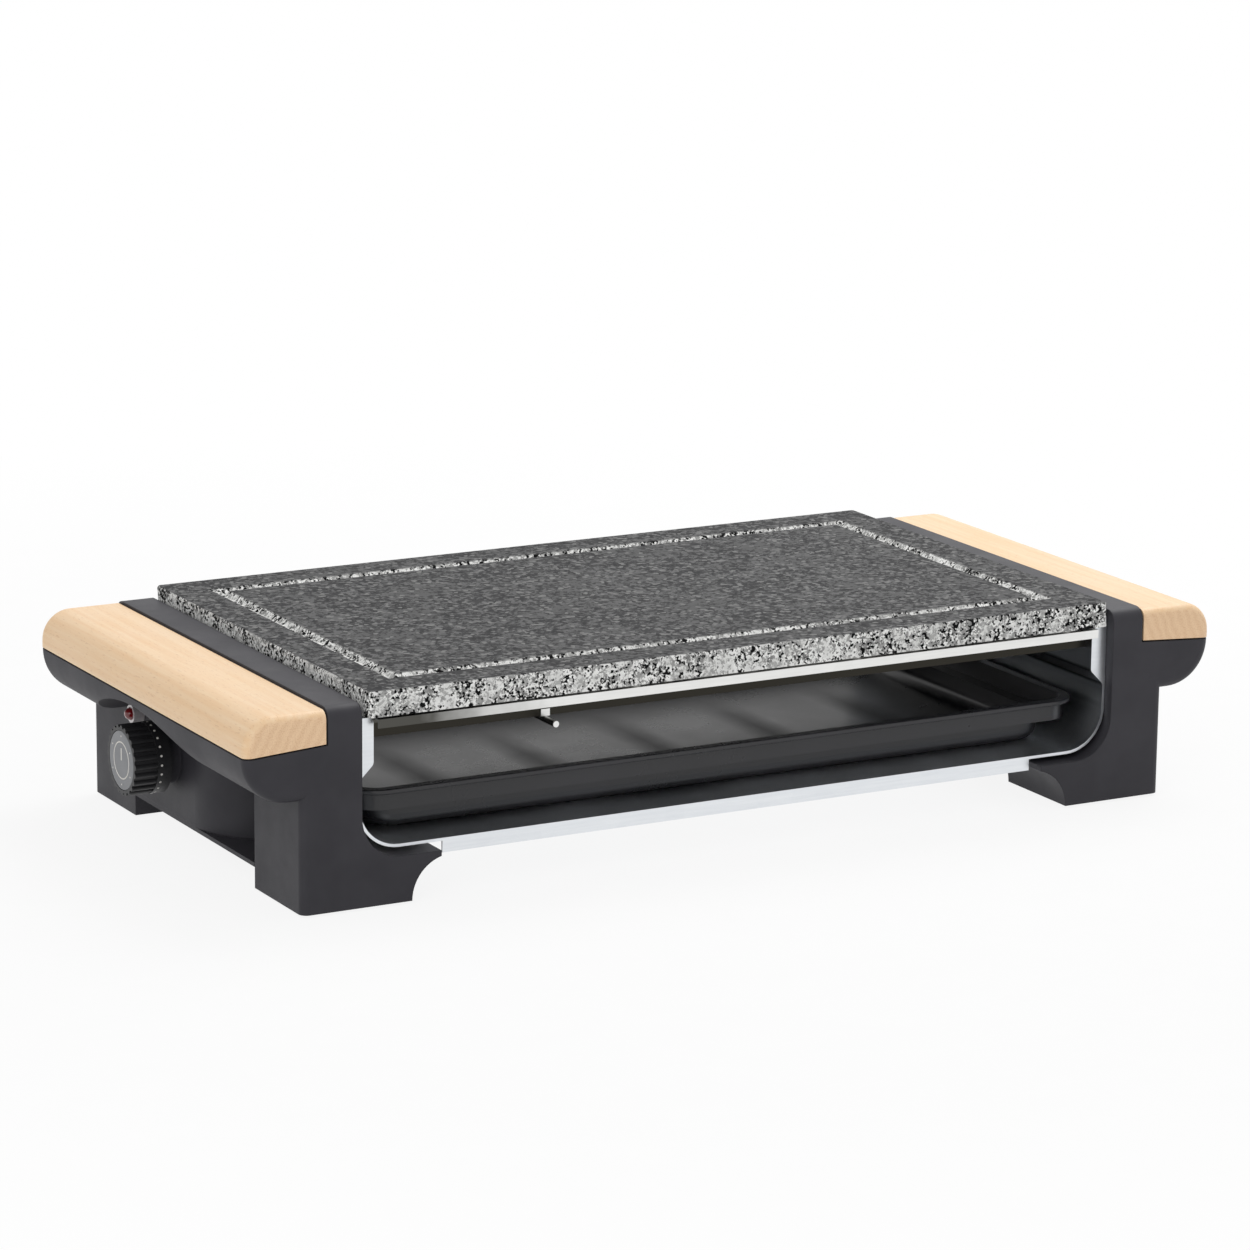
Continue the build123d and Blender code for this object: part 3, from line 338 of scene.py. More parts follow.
class StoneGrain(Pattern):
    """Crystals of a cut stone: pale patches, dark specks, flecks, clumps, slow clouds and a rough height."""

    NAME = "stone_grain"
    OUTS = ("Pale", "Dark", "Fleck", "Clump", "Cloud", "Height")
    PATCHES: ClassVar[Noise] = Noise(6.0, 0.72)
    CLUSTERS: ClassVar[Noise] = Noise(3.0, 0.6)
    CRYSTAL_FINENESS: ClassVar[float] = 1.6
    CRYSTAL_WEIGHT: ClassVar[float] = 0.14
    CLUSTER_FINENESS: ClassVar[float] = 0.3
    CLUSTER_WEIGHT: ClassVar[float] = 1.6
    SLOW_FINENESS: ClassVar[float] = 0.1
    SLOW_SPAN: ClassVar[Span] = (0.3, 0.7)
    SWAY: ClassVar[Span] = (-0.06, 0.06)
    SPECK_SWAY: ClassVar[float] = 3.0
    PALE_SPAN: ClassVar[Span] = (0.54, 0.59)
    DARK_SPAN: ClassVar[Span] = (1.05, 0.99)
    FLECK_SPAN: ClassVar[Span] = (0.9, 0.94)
    CLUMP_SPAN: ClassVar[Span] = (0.4, 0.65)
    CLOUD_SPAN: ClassVar[Span] = (0.35, 0.65)

    @classmethod
    def draw(cls, sheet: Sheet, ins: bpy.types.Node) -> dict[str, Socket]:
        """Draws the crystals, gathered in clusters that sway slowly over the stone.

        Args:
            sheet: Sheet of the group's tree.
            ins: The group's inputs.

        Returns:
            What goes to the group's outputs.
        """
        place, fineness = ins.outputs["Place"], ins.outputs["Fineness"]
        patches = sheet.noise(place, fineness, cls.PATCHES)
        crystals = sheet.cells(place, sheet.times(fineness, cls.CRYSTAL_FINENESS)).outputs["Color"]
        height = sheet.plus(patches, sheet.times(sheet.axis(crystals, Axis.X), cls.CRYSTAL_WEIGHT))
        clusters = sheet.noise(place, sheet.times(fineness, cls.CLUSTER_FINENESS), cls.CLUSTERS)
        slow = sheet.noise(place, sheet.times(fineness, cls.SLOW_FINENESS), cls.CLUSTERS)
        specks = sheet.plus(sheet.axis(crystals, Axis.Y), sheet.times(clusters, cls.CLUSTER_WEIGHT))
        sway = sheet.span(slow, cls.SLOW_SPAN, cls.SWAY)
        return {
            "Pale": sheet.span(sheet.plus(height, sway), cls.PALE_SPAN),
            "Dark": sheet.span(sheet.plus(specks, sheet.times(sway, cls.SPECK_SWAY)), cls.DARK_SPAN),
            "Fleck": sheet.span(sheet.axis(crystals, Axis.Z), cls.FLECK_SPAN),
            "Clump": sheet.span(clusters, cls.CLUMP_SPAN),
            "Cloud": sheet.span(slow, cls.CLOUD_SPAN),
            "Height": height,
        }


class WoodFigure(Pattern):
    """Figure of a plank that runs along Y: long streaks, short flecks and rings on its ends."""

    NAME = "wood_figure"
    INS = {"Place": "NodeSocketVector", "Facing": "NodeSocketVector"}
    OUTS = ("Streak", "Fleck", "Ring", "End")
    STREAK_STRETCH: ClassVar[Triple] = (1.0, 0.03, 1.0)
    STREAK_FINENESS: ClassVar[float] = 260.0
    STREAKS: ClassVar[Noise] = Noise(5.0, 0.6)
    FLECK_STRETCH: ClassVar[Triple] = (1.0, 0.15, 1.0)
    FLECK_FINENESS: ClassVar[float] = 1500.0
    FLECKS: ClassVar[Noise] = Noise(2.0)
    FLECK_SPAN: ClassVar[Span] = (0.6, 0.7)
    HEART: ClassVar[Triple] = (0.05, 0.0, 0.03)
    RINGS: ClassVar[dict[str, float]] = {
        "Scale": 70.0, "Distortion": 3.5, "Detail": 3.0, "Detail Scale": 2.0,
    }
    RING_WEIGHT: ClassVar[float] = 0.3
    PORE_FINENESS: ClassVar[float] = 1600.0
    PORES: ClassVar[Noise] = Noise(3.0, 0.6)
    PORE_SPAN: ClassVar[Span] = (0.45, 0.65)
    PORE_WEIGHT: ClassVar[float] = 0.6
    END_SPAN: ClassVar[Span] = (0.8, 0.95)

    @classmethod
    def draw(cls, sheet: Sheet, ins: bpy.types.Node) -> dict[str, Socket]:
        """Draws the streaks and flecks of the sides, and the rings and pores of the ends.

        Args:
            sheet: Sheet of the group's tree.
            ins: The group's inputs.

        Returns:
            What goes to the group's outputs.
        """
        place = ins.outputs["Place"]
        streak = sheet.noise(sheet.stretch(place, cls.STREAK_STRETCH), cls.STREAK_FINENESS, cls.STREAKS)
        fleck = sheet.noise(sheet.stretch(place, cls.FLECK_STRETCH), cls.FLECK_FINENESS, cls.FLECKS)
        heart = sheet.add("ShaderNodeMapping", {"Vector": place, "Location": cls.HEART}).outputs[0]
        inputs = {"Vector": heart, **cls.RINGS}
        wave = sheet.add("ShaderNodeTexWave", inputs, wave_type="RINGS", rings_direction="Y").outputs["Fac"]
        pores = sheet.span(sheet.noise(place, cls.PORE_FINENESS, cls.PORES), cls.PORE_SPAN)
        return {
            "Streak": streak,
            "Fleck": sheet.span(fleck, cls.FLECK_SPAN),
            "Ring": sheet.plus(sheet.times(wave, cls.RING_WEIGHT), sheet.times(pores, cls.PORE_WEIGHT)),
            "End": sheet.span(sheet.reach(ins.outputs["Facing"], Axis.Y), cls.END_SPAN),
        }


class DrawnMetal(Pattern):
    """Rolled sheet or drawn wire: fine lines along X and a patchy coat."""

    NAME = "drawn_metal"
    OUTS = ("Lines", "Patches")
    LINE_STRETCH: ClassVar[Triple] = (0.04, 1.0, 1.0)
    LINE_FINENESS: ClassVar[float] = 8.0
    LINES: ClassVar[Noise] = Noise(3.0)

    @classmethod
    def draw(cls, sheet: Sheet, ins: bpy.types.Node) -> dict[str, Socket]:
        """Draws the lines and the patches.

        Args:
            sheet: Sheet of the group's tree.
            ins: The group's inputs.

        Returns:
            What goes to the group's outputs.
        """
        place, fineness = ins.outputs["Place"], ins.outputs["Fineness"]
        drawn = sheet.stretch(place, cls.LINE_STRETCH)
        lines = sheet.noise(drawn, sheet.times(fineness, cls.LINE_FINENESS), cls.LINES)
        patches = sheet.cells(place, fineness).outputs["Color"]
        return {"Lines": lines, "Patches": sheet.axis(patches, Axis.X)}


class Smudges(Pattern):
    """Soft marks of use that change the gloss."""

    NAME = "smudges"
    OUTS = ("Amount",)
    SMEARS: ClassVar[Noise] = Noise(5.0, 0.65)
    SMEAR_SPAN: ClassVar[Span] = (0.38, 0.66)

    @classmethod
    def draw(cls, sheet: Sheet, ins: bpy.types.Node) -> dict[str, Socket]:
        """Draws the marks."""
        smears = sheet.noise(ins.outputs["Place"], ins.outputs["Fineness"], cls.SMEARS)
        return {"Amount": sheet.span(smears, cls.SMEAR_SPAN)}


@dataclass(frozen=True)
class Finish:
    """How a surface looks, made into one material.

    Args:
        slot: The record's slot that it stands for.
        colour: Main colour.
        roughness: Mean roughness.
    """

    MARK_FINENESS: ClassVar[float]
    GLOSS_SPREAD: ClassVar[Span]

    slot: Slot
    colour: Colour
    roughness: float

    @property
    def label(self) -> str:
        """Name of the material."""
        return f"finish_{self.slot.value}"

    def material(self) -> bpy.types.Material:
        """Makes the material at its first use.

        Returns:
            The material.
        """
        made = bpy.data.materials.get(self.label)
        if made:
            return made
        made = bpy.data.materials.new(self.label)
        made.use_nodes = True
        sheet = Sheet(made.node_tree)
        shader = made.node_tree.nodes["Principled BSDF"]
        for key, value in self.surface(sheet).items():
            sheet.feed(shader.inputs[key], value)
        return made

    def surface(self, sheet: Sheet) -> dict[str, Any]:
        """What goes into the shader's sockets."""
        raise NotImplementedError

    def marks(self, sheet: Sheet, place: Socket) -> Socket:
        """Marks of use, from 0 to 1."""
        return Smudges.use(sheet, Place=place, Fineness=self.MARK_FINENESS).outputs["Amount"]

    def gloss(self, sheet: Sheet, marks: Socket) -> Socket:
        """Roughness that changes with the marks of use."""
        low, high = self.GLOSS_SPREAD
        return sheet.span(marks, WHOLE, (self.roughness + low, self.roughness + high))

    def dress(self, *nodes: str) -> None:
        """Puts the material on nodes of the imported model.

        Args:
            nodes: Names of the nodes.
        """
        for name in nodes:
            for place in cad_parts[name].material_slots:
                place.material = self.material()
            log.info("%s takes %s", name, self.label)

    def dress_piece(self, piece: bpy.types.Object) -> None:
        """Puts the material on a piece made here.

        Args:
            piece: The piece.
        """
        piece.data.materials.clear()
        piece.data.materials.append(self.material())


@dataclass(frozen=True)
class Plastic(Finish):
    """Moulded plastic or rubber with a fine grain, and softened edges where it has an edge radius."""

    MARK_FINENESS = 28.0
    GLOSS_SPREAD = (-0.04, 0.05)

    shade: Colour
    fineness: float = 2600.0
    grain_depth: float = 0.06 * MM
    grain_strength: float = 0.5
    specular: float = 0.4
    coat: float = 0.0
    coat_roughness: float = 0.08
    edge_radius: float = 0.0

    def surface(self, sheet: Sheet) -> dict[str, Any]:
        """Grain, a slow change of shade and marks of use.

        Args:
            sheet: Sheet of the material's tree.

        Returns:
            What goes into the shader's sockets.
        """
        place = sheet.place()
        grain = MouldGrain.use(sheet, Place=place, Fineness=self.fineness).outputs
        edges = None
        if self.edge_radius:
            edges = sheet.add("ShaderNodeBevel", {"Radius": self.edge_radius}).outputs[0]
        return {
            "Base Color": sheet.mixed(grain["Shade"], self.colour, self.shade),
            "Roughness": self.gloss(sheet, self.marks(sheet, place)),
            "Specular IOR Level": self.specular,
            "Coat Weight": self.coat,
            "Coat Roughness": self.coat_roughness,
            "Normal": sheet.bump(grain["Height"], self.grain_depth, self.grain_strength, edges),
        }


@dataclass(frozen=True)
class Metal(Finish):
    """Bare or coated metal with rolled lines and a patchy tone."""

    MARK_FINENESS = 20.0
    GLOSS_SPREAD = (-0.05, 0.07)

    shade: Colour
    fineness: float = 110.0
    patchiness: float = 0.5
    line_span: Span = (0.3, 0.7)
    line_shades: Span = (0.0, 0.4)
    line_depth: float = 0.005 * MM
    line_strength: float = 0.3

    def surface(self, sheet: Sheet) -> dict[str, Any]:
        """Lines, patches and marks of use.

        Args:
            sheet: Sheet of the material's tree.

        Returns:
            What goes into the shader's sockets.
        """
        place = sheet.place()
        metal = DrawnMetal.use(sheet, Place=place, Fineness=self.fineness).outputs
        patches = sheet.times(metal["Patches"], self.patchiness)
        lines = sheet.span(metal["Lines"], self.line_span, self.line_shades)
        return {
            "Base Color": sheet.mixed(sheet.plus(patches, lines), self.colour, self.shade),
            "Metallic": 1.0,
            "Roughness": self.gloss(sheet, self.marks(sheet, place)),
            "Normal": sheet.bump(metal["Lines"], self.line_depth, self.line_strength),
        }


@dataclass(frozen=True)
class RailSteel(Metal):
    """Pale steel with painted shade on its low rear leg and along the rod, and a painted dark reflection
    towards its left end.
    """

    CLOUDS: ClassVar[Noise] = Noise(3.0)

    # Painted shade laid on the low rear leg and the rod.
    dark_tone: Colour = tone(52, 50, 45)
    leg_top: float = 84.0 * MM
    leg_reach: float = 108.9 * MM
    rod_top: float = 77.3 * MM
    rod_reach: float = 119.4 * MM
    fade: float = 0.4 * MM
    # Painted dark reflection, growing towards the left end.
    painted_reflection: Colour = tone(84, 83, 79)
    painted_reflection_span: Span = (-112.0 * MM, -180.0 * MM)
    cloud_fineness: float = 45.0
    cloud_span: Span = (0.2, 0.8)
    cloud_sway: Span = (-20.0 * MM, 20.0 * MM)

    def surface(self, sheet: Sheet) -> dict[str, Any]:
        """Plain metal with the painted reflection and the painted shade over it.

        Args:
            sheet: Sheet of the material's tree.

        Returns:
            What goes into the shader's sockets.
        """
        parts = super().surface(sheet)
        place = sheet.place()
        leg = self._below(sheet, place, self.leg_top, self.leg_reach)
        rod = self._below(sheet, place, self.rod_top, self.rod_reach)
        clouds = sheet.noise(place, self.cloud_fineness, self.CLOUDS)
        along = sheet.plus(sheet.axis(place, Axis.X), sheet.span(clouds, self.cloud_span, self.cloud_sway))
        # Painted dark reflection towards the left end, with a cloudy edge.
        reflection_painted = sheet.mixed(sheet.span(along, self.painted_reflection_span), parts["Base Color"], self.painted_reflection)
        # Painted shade on the low rear leg and along the rod.
        parts["Base Color"] = sheet.mixed(sheet.math(Operation.LARGER, leg, rod), reflection_painted, self.dark_tone)
        return parts

    def _below(self, sheet: Sheet, place: Socket, top: float, reach: float) -> Socket:
        """Mask of what lies low and near the middle, to the front and to the back, where the painted shade
        goes.

        Args:
            sheet: Sheet of the material's tree.
            place: Place on the piece.
            top: Height that it lies below.
            reach: Distance from the middle that it lies within.

        Returns:
            The mask.
        """
        low = sheet.span(sheet.axis(place, Axis.Z), (top, top - self.fade))
        near = sheet.span(sheet.reach(place, Axis.Y), (reach, reach - self.fade))
        return sheet.times(low, near)


@dataclass(frozen=True)
class TroughSheet(Metal):
    """Zinc sheet, darker high up on its end walls."""

    # Darker colour of the end walls high up.
    dark_tone: Colour = tone(132, 136, 142)
    dark_zone_bottom: float = 46.0 * MM
    fade: float = 10.0 * MM
    wall_facing: Span = (0.6, 0.9)

    def surface(self, sheet: Sheet) -> dict[str, Any]:
        """Plain metal, darker high up on the end walls.

        Args:
            sheet: Sheet of the material's tree.

        Returns:
            What goes into the shader's sockets.
        """
        parts = super().surface(sheet)
        walls = sheet.span(sheet.reach(sheet.facing(), Axis.X), self.wall_facing)
        height = sheet.axis(sheet.place(), Axis.Z)
        high = sheet.span(height, (self.dark_zone_bottom, self.dark_zone_bottom + self.fade))
        parts["Base Color"] = sheet.mixed(sheet.times(walls, high), parts["Base Color"], self.dark_tone)
        return parts


@dataclass(frozen=True)
class Beech(Finish):
    """Oiled pale wood with its end grain."""

    MARK_FINENESS = 30.0
    GLOSS_SPREAD = (-0.05, 0.06)

    streak: Colour
    fleck: Colour
    end: Colour
    ring: Colour
    streak_span: Span = (0.38, 0.68)
    fleck_share: float = 0.45
    ring_share: float = 0.7
    specular: float = 0.35
    figure_depth: float = 0.05 * MM
    figure_strength: float = 0.4

    def surface(self, sheet: Sheet) -> dict[str, Any]:
        """Streaks and flecks on the sides, rings on the ends and marks of use.

        Args:
            sheet: Sheet of the material's tree.

        Returns:
            What goes into the shader's sockets.
        """
        place = sheet.place()
        figure = WoodFigure.use(sheet, Place=place, Facing=sheet.facing()).outputs
        plank = sheet.mixed(sheet.span(figure["Streak"], self.streak_span), self.colour, self.streak)
        plank = sheet.mixed(sheet.times(figure["Fleck"], self.fleck_share), plank, self.fleck)
        ends = sheet.mixed(sheet.times(figure["Ring"], self.ring_share), self.end, self.ring)
        height = sheet.plus(figure["Streak"], figure["Fleck"])
        return {
            "Base Color": sheet.mixed(figure["End"], plank, ends),
            "Roughness": self.gloss(sheet, self.marks(sheet, place)),
            "Specular IOR Level": self.specular,
            "Normal": sheet.bump(height, self.figure_depth, self.figure_strength),
        }


@dataclass(frozen=True)
class Granite(Finish):
    """Stone with a honed dark top and bright rough crystals where it is sawn."""

    pale: Colour
    dark: Colour
    sawn: Colour
    sawn_pale: Colour
    sawn_soft: Colour
    sawn_dark: Colour
    top: float
    honed_fineness: float = 320.0
    pale_share: float = 0.7
    dark_share: float = 0.5
    cloud_share: float = 0.35
    fleck_share: float = 0.8
    sawn_fineness: float = 540.0
    soft_share: float = 0.6
    sawn_roughness: float = 0.85
    ragged_fineness: float = 420.0
    ragged_span: Span = (0.2, 0.8)
    ragged_reach: Span = (-0.35 * MM, 0.35 * MM)
    honed_depth: Span = (0.5 * MM, 0.35 * MM)
    honed_facing: Span = (0.5, 0.8)
    specular: float = 0.08
    relief_depth: float = 0.5 * MM
    relief_strength: float = 0.6

    def surface(self, sheet: Sheet) -> dict[str, Any]:
        """Honed crystals on top, and sawn ones with a relief on the sides and in the groove.

        Args:
            sheet: Sheet of the material's tree.

        Returns:
            What goes into the shader's sockets.
        """
        place = sheet.place()
        fine = StoneGrain.use(sheet, Place=place, Fineness=self.sawn_fineness).outputs
        broad = StoneGrain.use(sheet, Place=place, Fineness=self.honed_fineness).outputs
        honed = sheet.mixed(sheet.times(broad["Pale"], self.pale_share), self.colour, self.pale)
        honed = sheet.mixed(sheet.times(broad["Dark"], self.dark_share), honed, self.dark)
        honed = sheet.mixed(sheet.times(broad["Cloud"], self.cloud_share), honed, self.dark)
        honed = sheet.mixed(sheet.times(broad["Fleck"], self.fleck_share), honed, self.sawn)
        sawn = sheet.mixed(fine["Pale"], self.sawn, self.sawn_pale)
        sawn = sheet.mixed(sheet.times(fine["Clump"], self.soft_share), sawn, self.sawn_soft)
        sawn = sheet.mixed(fine["Dark"], sawn, self.sawn_dark)
        polish = self._polish(sheet, place)
        relief = sheet.times(fine["Height"], sheet.math(Operation.MINUS, 1.0, polish))
        return {
            "Base Color": sheet.mixed(polish, sawn, honed),
            "Roughness": sheet.span(polish, WHOLE, (self.sawn_roughness, self.roughness)),
            "Specular IOR Level": self.specular,
            "Normal": sheet.bump(relief, self.relief_depth, self.relief_strength),
        }

    def _polish(self, sheet: Sheet, place: Socket) -> Socket:
        """Mask of the honed top, with a ragged edge.

        Args:
            sheet: Sheet of the material's tree.
            place: Place on the piece.

        Returns:
            The mask.
        """
        ragged = sheet.span(sheet.noise(place, self.ragged_fineness), self.ragged_span, self.ragged_reach)
        height = sheet.plus(sheet.axis(place, Axis.Z), ragged)
        start, end = self.honed_depth
        level = sheet.span(height, (self.top - start, self.top - end))
        upward = sheet.span(sheet.axis(sheet.facing(), Axis.Z), self.honed_facing)
        return sheet.times(level, upward)


@dataclass(frozen=True)
class Enamel(Finish):
    """Black baked coat with a fine orange-peel, and soft bands of painted shade across the tray floor, where
    the coat is also duller.
    """

    MARK_FINENESS = 16.0
    GLOSS_SPREAD = (-0.02, 0.03)

    shade: Colour
    # Painted shade: colour of the bands on the tray floor, standing in for dark reflections and shadows.
    painted_band_shade: Colour
    peel_fineness: float = 900.0
    peel_depth: float = 0.02 * MM
    peel_strength: float = 0.4
    specular: float = 0.5
    band_pitch: float = 64.0 * MM
    band_start: float = 4.0 * MM
    band_half_width: float = 13.0 * MM
    band_front: float = -5.0 * MM
    band_back: float = 80.0 * MM
    band_roughness: float = 0.15
    floor_top: float = 31.0 * MM
    floor_fade: float = 1.0 * MM

    def surface(self, sheet: Sheet) -> dict[str, Any]:
        """Orange-peel, marks of use and the bands of painted shade, which are also rougher.

        Args:
            sheet: Sheet of the material's tree.

        Returns:
            What goes into the shader's sockets.
        """
        place = sheet.place()
        peel = MouldGrain.use(sheet, Place=place, Fineness=self.peel_fineness).outputs
        # Bands of painted shade on the floor.
        painted_bands = self._painted_shade_bands(sheet, place)
        coat = sheet.mixed(peel["Shade"], self.colour, self.shade)
        gloss = self.gloss(sheet, self.marks(sheet, place))
        return {
            "Base Color": sheet.mixed(painted_bands, coat, self.painted_band_shade),
            "Roughness": sheet.plus(gloss, sheet.times(painted_bands, self.band_roughness)),
            "Specular IOR Level": self.specular,
            "Normal": sheet.bump(peel["Height"], self.peel_depth, self.peel_strength),
        }

    def _painted_shade_bands(self, sheet: Sheet, place: Socket) -> Socket:
        """Mask of the bands of painted shade on the tray floor, which fade out towards the back.

        Args:
            sheet: Sheet of the material's tree.
            place: Place on the piece.

        Returns:
            The mask.
        """
        along = sheet.math(Operation.MINUS, sheet.axis(place, Axis.X), self.band_start)
        distance = sheet.math(Operation.TO_AND_FRO, along, self.band_pitch / 2)
        near = sheet.span(sheet.axis(place, Axis.Y), (self.band_back, self.band_front))
        band = sheet.times(sheet.span(distance, (self.band_half_width, 0.0)), near)
        low = sheet.span(sheet.axis(place, Axis.Z), (self.floor_top, self.floor_top - self.floor_fade))
        return sheet.times(band, low)


@dataclass(frozen=True)
class LampPlastic(Finish):
    """Clear or dyed lamp plastic, milky where it is thick."""

    MARK_FINENESS = 240.0
    GLOSS_SPREAD = (0.0, 0.1)

    shade: Colour
    rim: Colour
    glow: float = 0.0
    rim_blend: float = 0.35
    rim_span: Span = (0.35, 0.8)
    coat: float = 0.6
    coat_roughness: float = 0.05

    def surface(self, sheet: Sheet) -> dict[str, Any]:
        """Cloudy dye with a milky rim.

        Args:
            sheet: Sheet of the material's tree.

        Returns:
            What goes into the shader's sockets.
        """
        clouds = self.marks(sheet, sheet.place())
        dyed = sheet.mixed(clouds, self.colour, self.shade)
        edge = sheet.add("ShaderNodeLayerWeight", {"Blend": self.rim_blend}).outputs["Facing"]
        return {
            "Base Color": sheet.mixed(sheet.span(edge, self.rim_span), dyed, self.rim),
            "Roughness": self.gloss(sheet, clouds),
            "Coat Weight": self.coat,
            "Coat Roughness": self.coat_roughness,
            "Emission Color": self.colour,
            "Emission Strength": self.glow,
        }


class Palette:
    """Every finish of the grill."""

    HOUSING = Plastic(
        Slot.HOUSING, tone(49, 48, 53), 0.52, tone(54, 53, 58), specular=0.28, edge_radius=0.9 * MM,
    )
    COVER = Plastic(Slot.COVER, tone(52, 51, 56), 0.52, tone(57, 56, 61), specular=0.28)
    KNOB = Plastic(Slot.KNOB, tone(28, 28, 30), 0.42, tone(34, 34, 36))
    RUBBER = Plastic(Slot.RUBBER, tone(24, 24, 24), 0.8, tone(32, 32, 32), specular=0.2)
    DISC = Plastic(
        Slot.DISC, tone(108, 110, 114), 0.35, tone(118, 120, 124), grain_depth=0.02 * MM, coat=0.2,
    )
    CERAMIC = Plastic(Slot.CERAMIC, tone(232, 230, 226), 0.6, tone(218, 215, 208))
    BEECH = Beech(
        Slot.BEECH, tone(249, 218, 180), 0.42, streak=tone(242, 203, 158), fleck=tone(212, 166, 122),
        end=tone(246, 212, 174), ring=tone(214, 168, 124),
    )
    STONE = Granite(
        Slot.STONE, tone(62, 62, 63), 0.7, pale=tone(124, 124, 124), dark=tone(36, 36, 37),
        sawn=tone(132, 132, 131), sawn_pale=tone(254, 254, 252), sawn_soft=tone(206, 206, 204),
        sawn_dark=tone(16, 16, 17), top=101.4 * MM,
    )
    SHEET = TroughSheet(Slot.SHEET, tone(232, 235, 238), 0.34, tone(216, 220, 225), patchiness=0.15)
    # The rail's finish paints shade on its low leg and rod, and a dark reflection at its left end.
    RAIL = RailSteel(Slot.RAIL, tone(236, 236, 234), 0.34, tone(220, 220, 218), patchiness=0.2)
    HEATER = Metal(Slot.HEATER, tone(96, 94, 92), 0.5, tone(62, 58, 56), fineness=400.0)
    FASTENER = Metal(Slot.FASTENER, tone(196, 197, 198), 0.3, tone(170, 172, 174), fineness=600.0)
    BRASS = Metal(Slot.BRASS, tone(206, 176, 104), 0.3, tone(184, 150, 84), fineness=500.0)
    # The tray's darker colour is painted shade in bands on its floor.
    TRAY = Enamel(Slot.TRAY, tone(34, 34, 37), 0.28, tone(39, 39, 43), painted_band_shade=tone(24, 24, 26))
    LAMP_CLEAR = LampPlastic(
        Slot.LAMP_CLEAR, tone(206, 201, 202), 0.12, tone(190, 184, 186), rim=tone(232, 228, 229),
    )
    LAMP_RED = LampPlastic(
        Slot.LAMP_RED, tone(128, 20, 26), 0.15, tone(96, 10, 14), rim=tone(206, 176, 178), glow=0.05,
    )


class Bench:
    """Modelling steps on one mesh."""

    SOFT_ANGLE: ClassVar[float] = 35.0

    @staticmethod
    def pick(piece: bpy.types.Object) -> None:
        """Makes a piece the only chosen one.

        Args:
            piece: The piece.
        """
        bpy.ops.object.select_all(action="DESELECT")
        piece.select_set(True)
        bpy.context.view_layer.objects.active = piece

    @staticmethod
    def open(piece: bpy.types.Object) -> None:
        """Goes into edit mode on one piece."""
        Bench.pick(piece)
        bpy.ops.object.mode_set(mode="EDIT")

    @staticmethod
    def close() -> None:
        """Goes back to object mode."""
        bpy.ops.object.mode_set(mode="OBJECT")

    @staticmethod
    def _select(piece: bpy.types.Object, kind: MeshPart, test: Callable[[Any], bool]) -> None:
        """Selects the faces or the edges that pass a test.

        Args:
            piece: The piece, in edit mode.
            kind: What is selected.
            test: Whether one of them is selected.
        """
        bpy.ops.mesh.select_mode(type=kind.value)
        mesh = bmesh.from_edit_mesh(piece.data)
        parts = mesh.faces if kind is MeshPart.FACE else mesh.edges
        for part in parts:
            part.select_set(False)
        for part in parts:
            if test(part):
                part.select_set(True)
        mesh.select_flush_mode()
        bmesh.update_edit_mesh(piece.data)

    @staticmethod
    def faces(piece: bpy.types.Object, test: Callable[[bmesh.types.BMFace], bool]) -> None:
        """Selects the faces that pass a test."""
        Bench._select(piece, MeshPart.FACE, test)

    @staticmethod
    def edges(piece: bpy.types.Object, test: Callable[[Vector, Vector], bool]) -> None:
        """Selects the edges whose two ends pass a test."""
        Bench._select(piece, MeshPart.EDGE, lambda edge: test(edge.verts[0].co, edge.verts[1].co))

    @staticmethod
    def smooth(piece: bpy.types.Object, angle: float = SOFT_ANGLE) -> None:
        """Makes normals point out and shades soft edges smooth.

        Args:
            piece: The piece.
            angle: Largest angle of a soft edge, in degrees.
        """
        Bench.open(piece)
        bpy.ops.mesh.select_all(action="SELECT")
        bpy.ops.mesh.normals_make_consistent(inside=False)
        Bench.close()
        bpy.ops.object.shade_smooth_by_angle(angle=math.radians(angle))

    @staticmethod
    def settle(piece: bpy.types.Object, name: str) -> None:
        """Names a piece and leaves it at the origin, unturned and unscaled.

        Args:
            piece: The piece.
            name: Its name.
        """
        piece.name = name
        piece.data.name = name
        Bench.pick(piece)
        bpy.ops.object.transform_apply(location=True, rotation=True, scale=True)

    @staticmethod
    def copies(name: str, first: bpy.types.Object, places: list[tuple[Vector, Triple]]) -> bpy.types.Object:
        """Copies one shape to several places, as one piece.

        Args:
            name: Name of the piece.
            first: The shape, facing up at the origin.
            places: Where each copy goes and how it is turned.

        Returns:
            The piece.
        """
        pieces = [first]
        for _ in places[1:]:
            Bench.pick(first)
            bpy.ops.object.duplicate(linked=False)
            pieces.append(bpy.context.object)
        for piece, (place, turn) in zip(pieces, places):
            piece.location = place
            piece.rotation_euler = turn
            piece.select_set(True)
        bpy.context.view_layer.objects.active = first
        bpy.ops.object.join()
        Bench.settle(first, name)
        return first


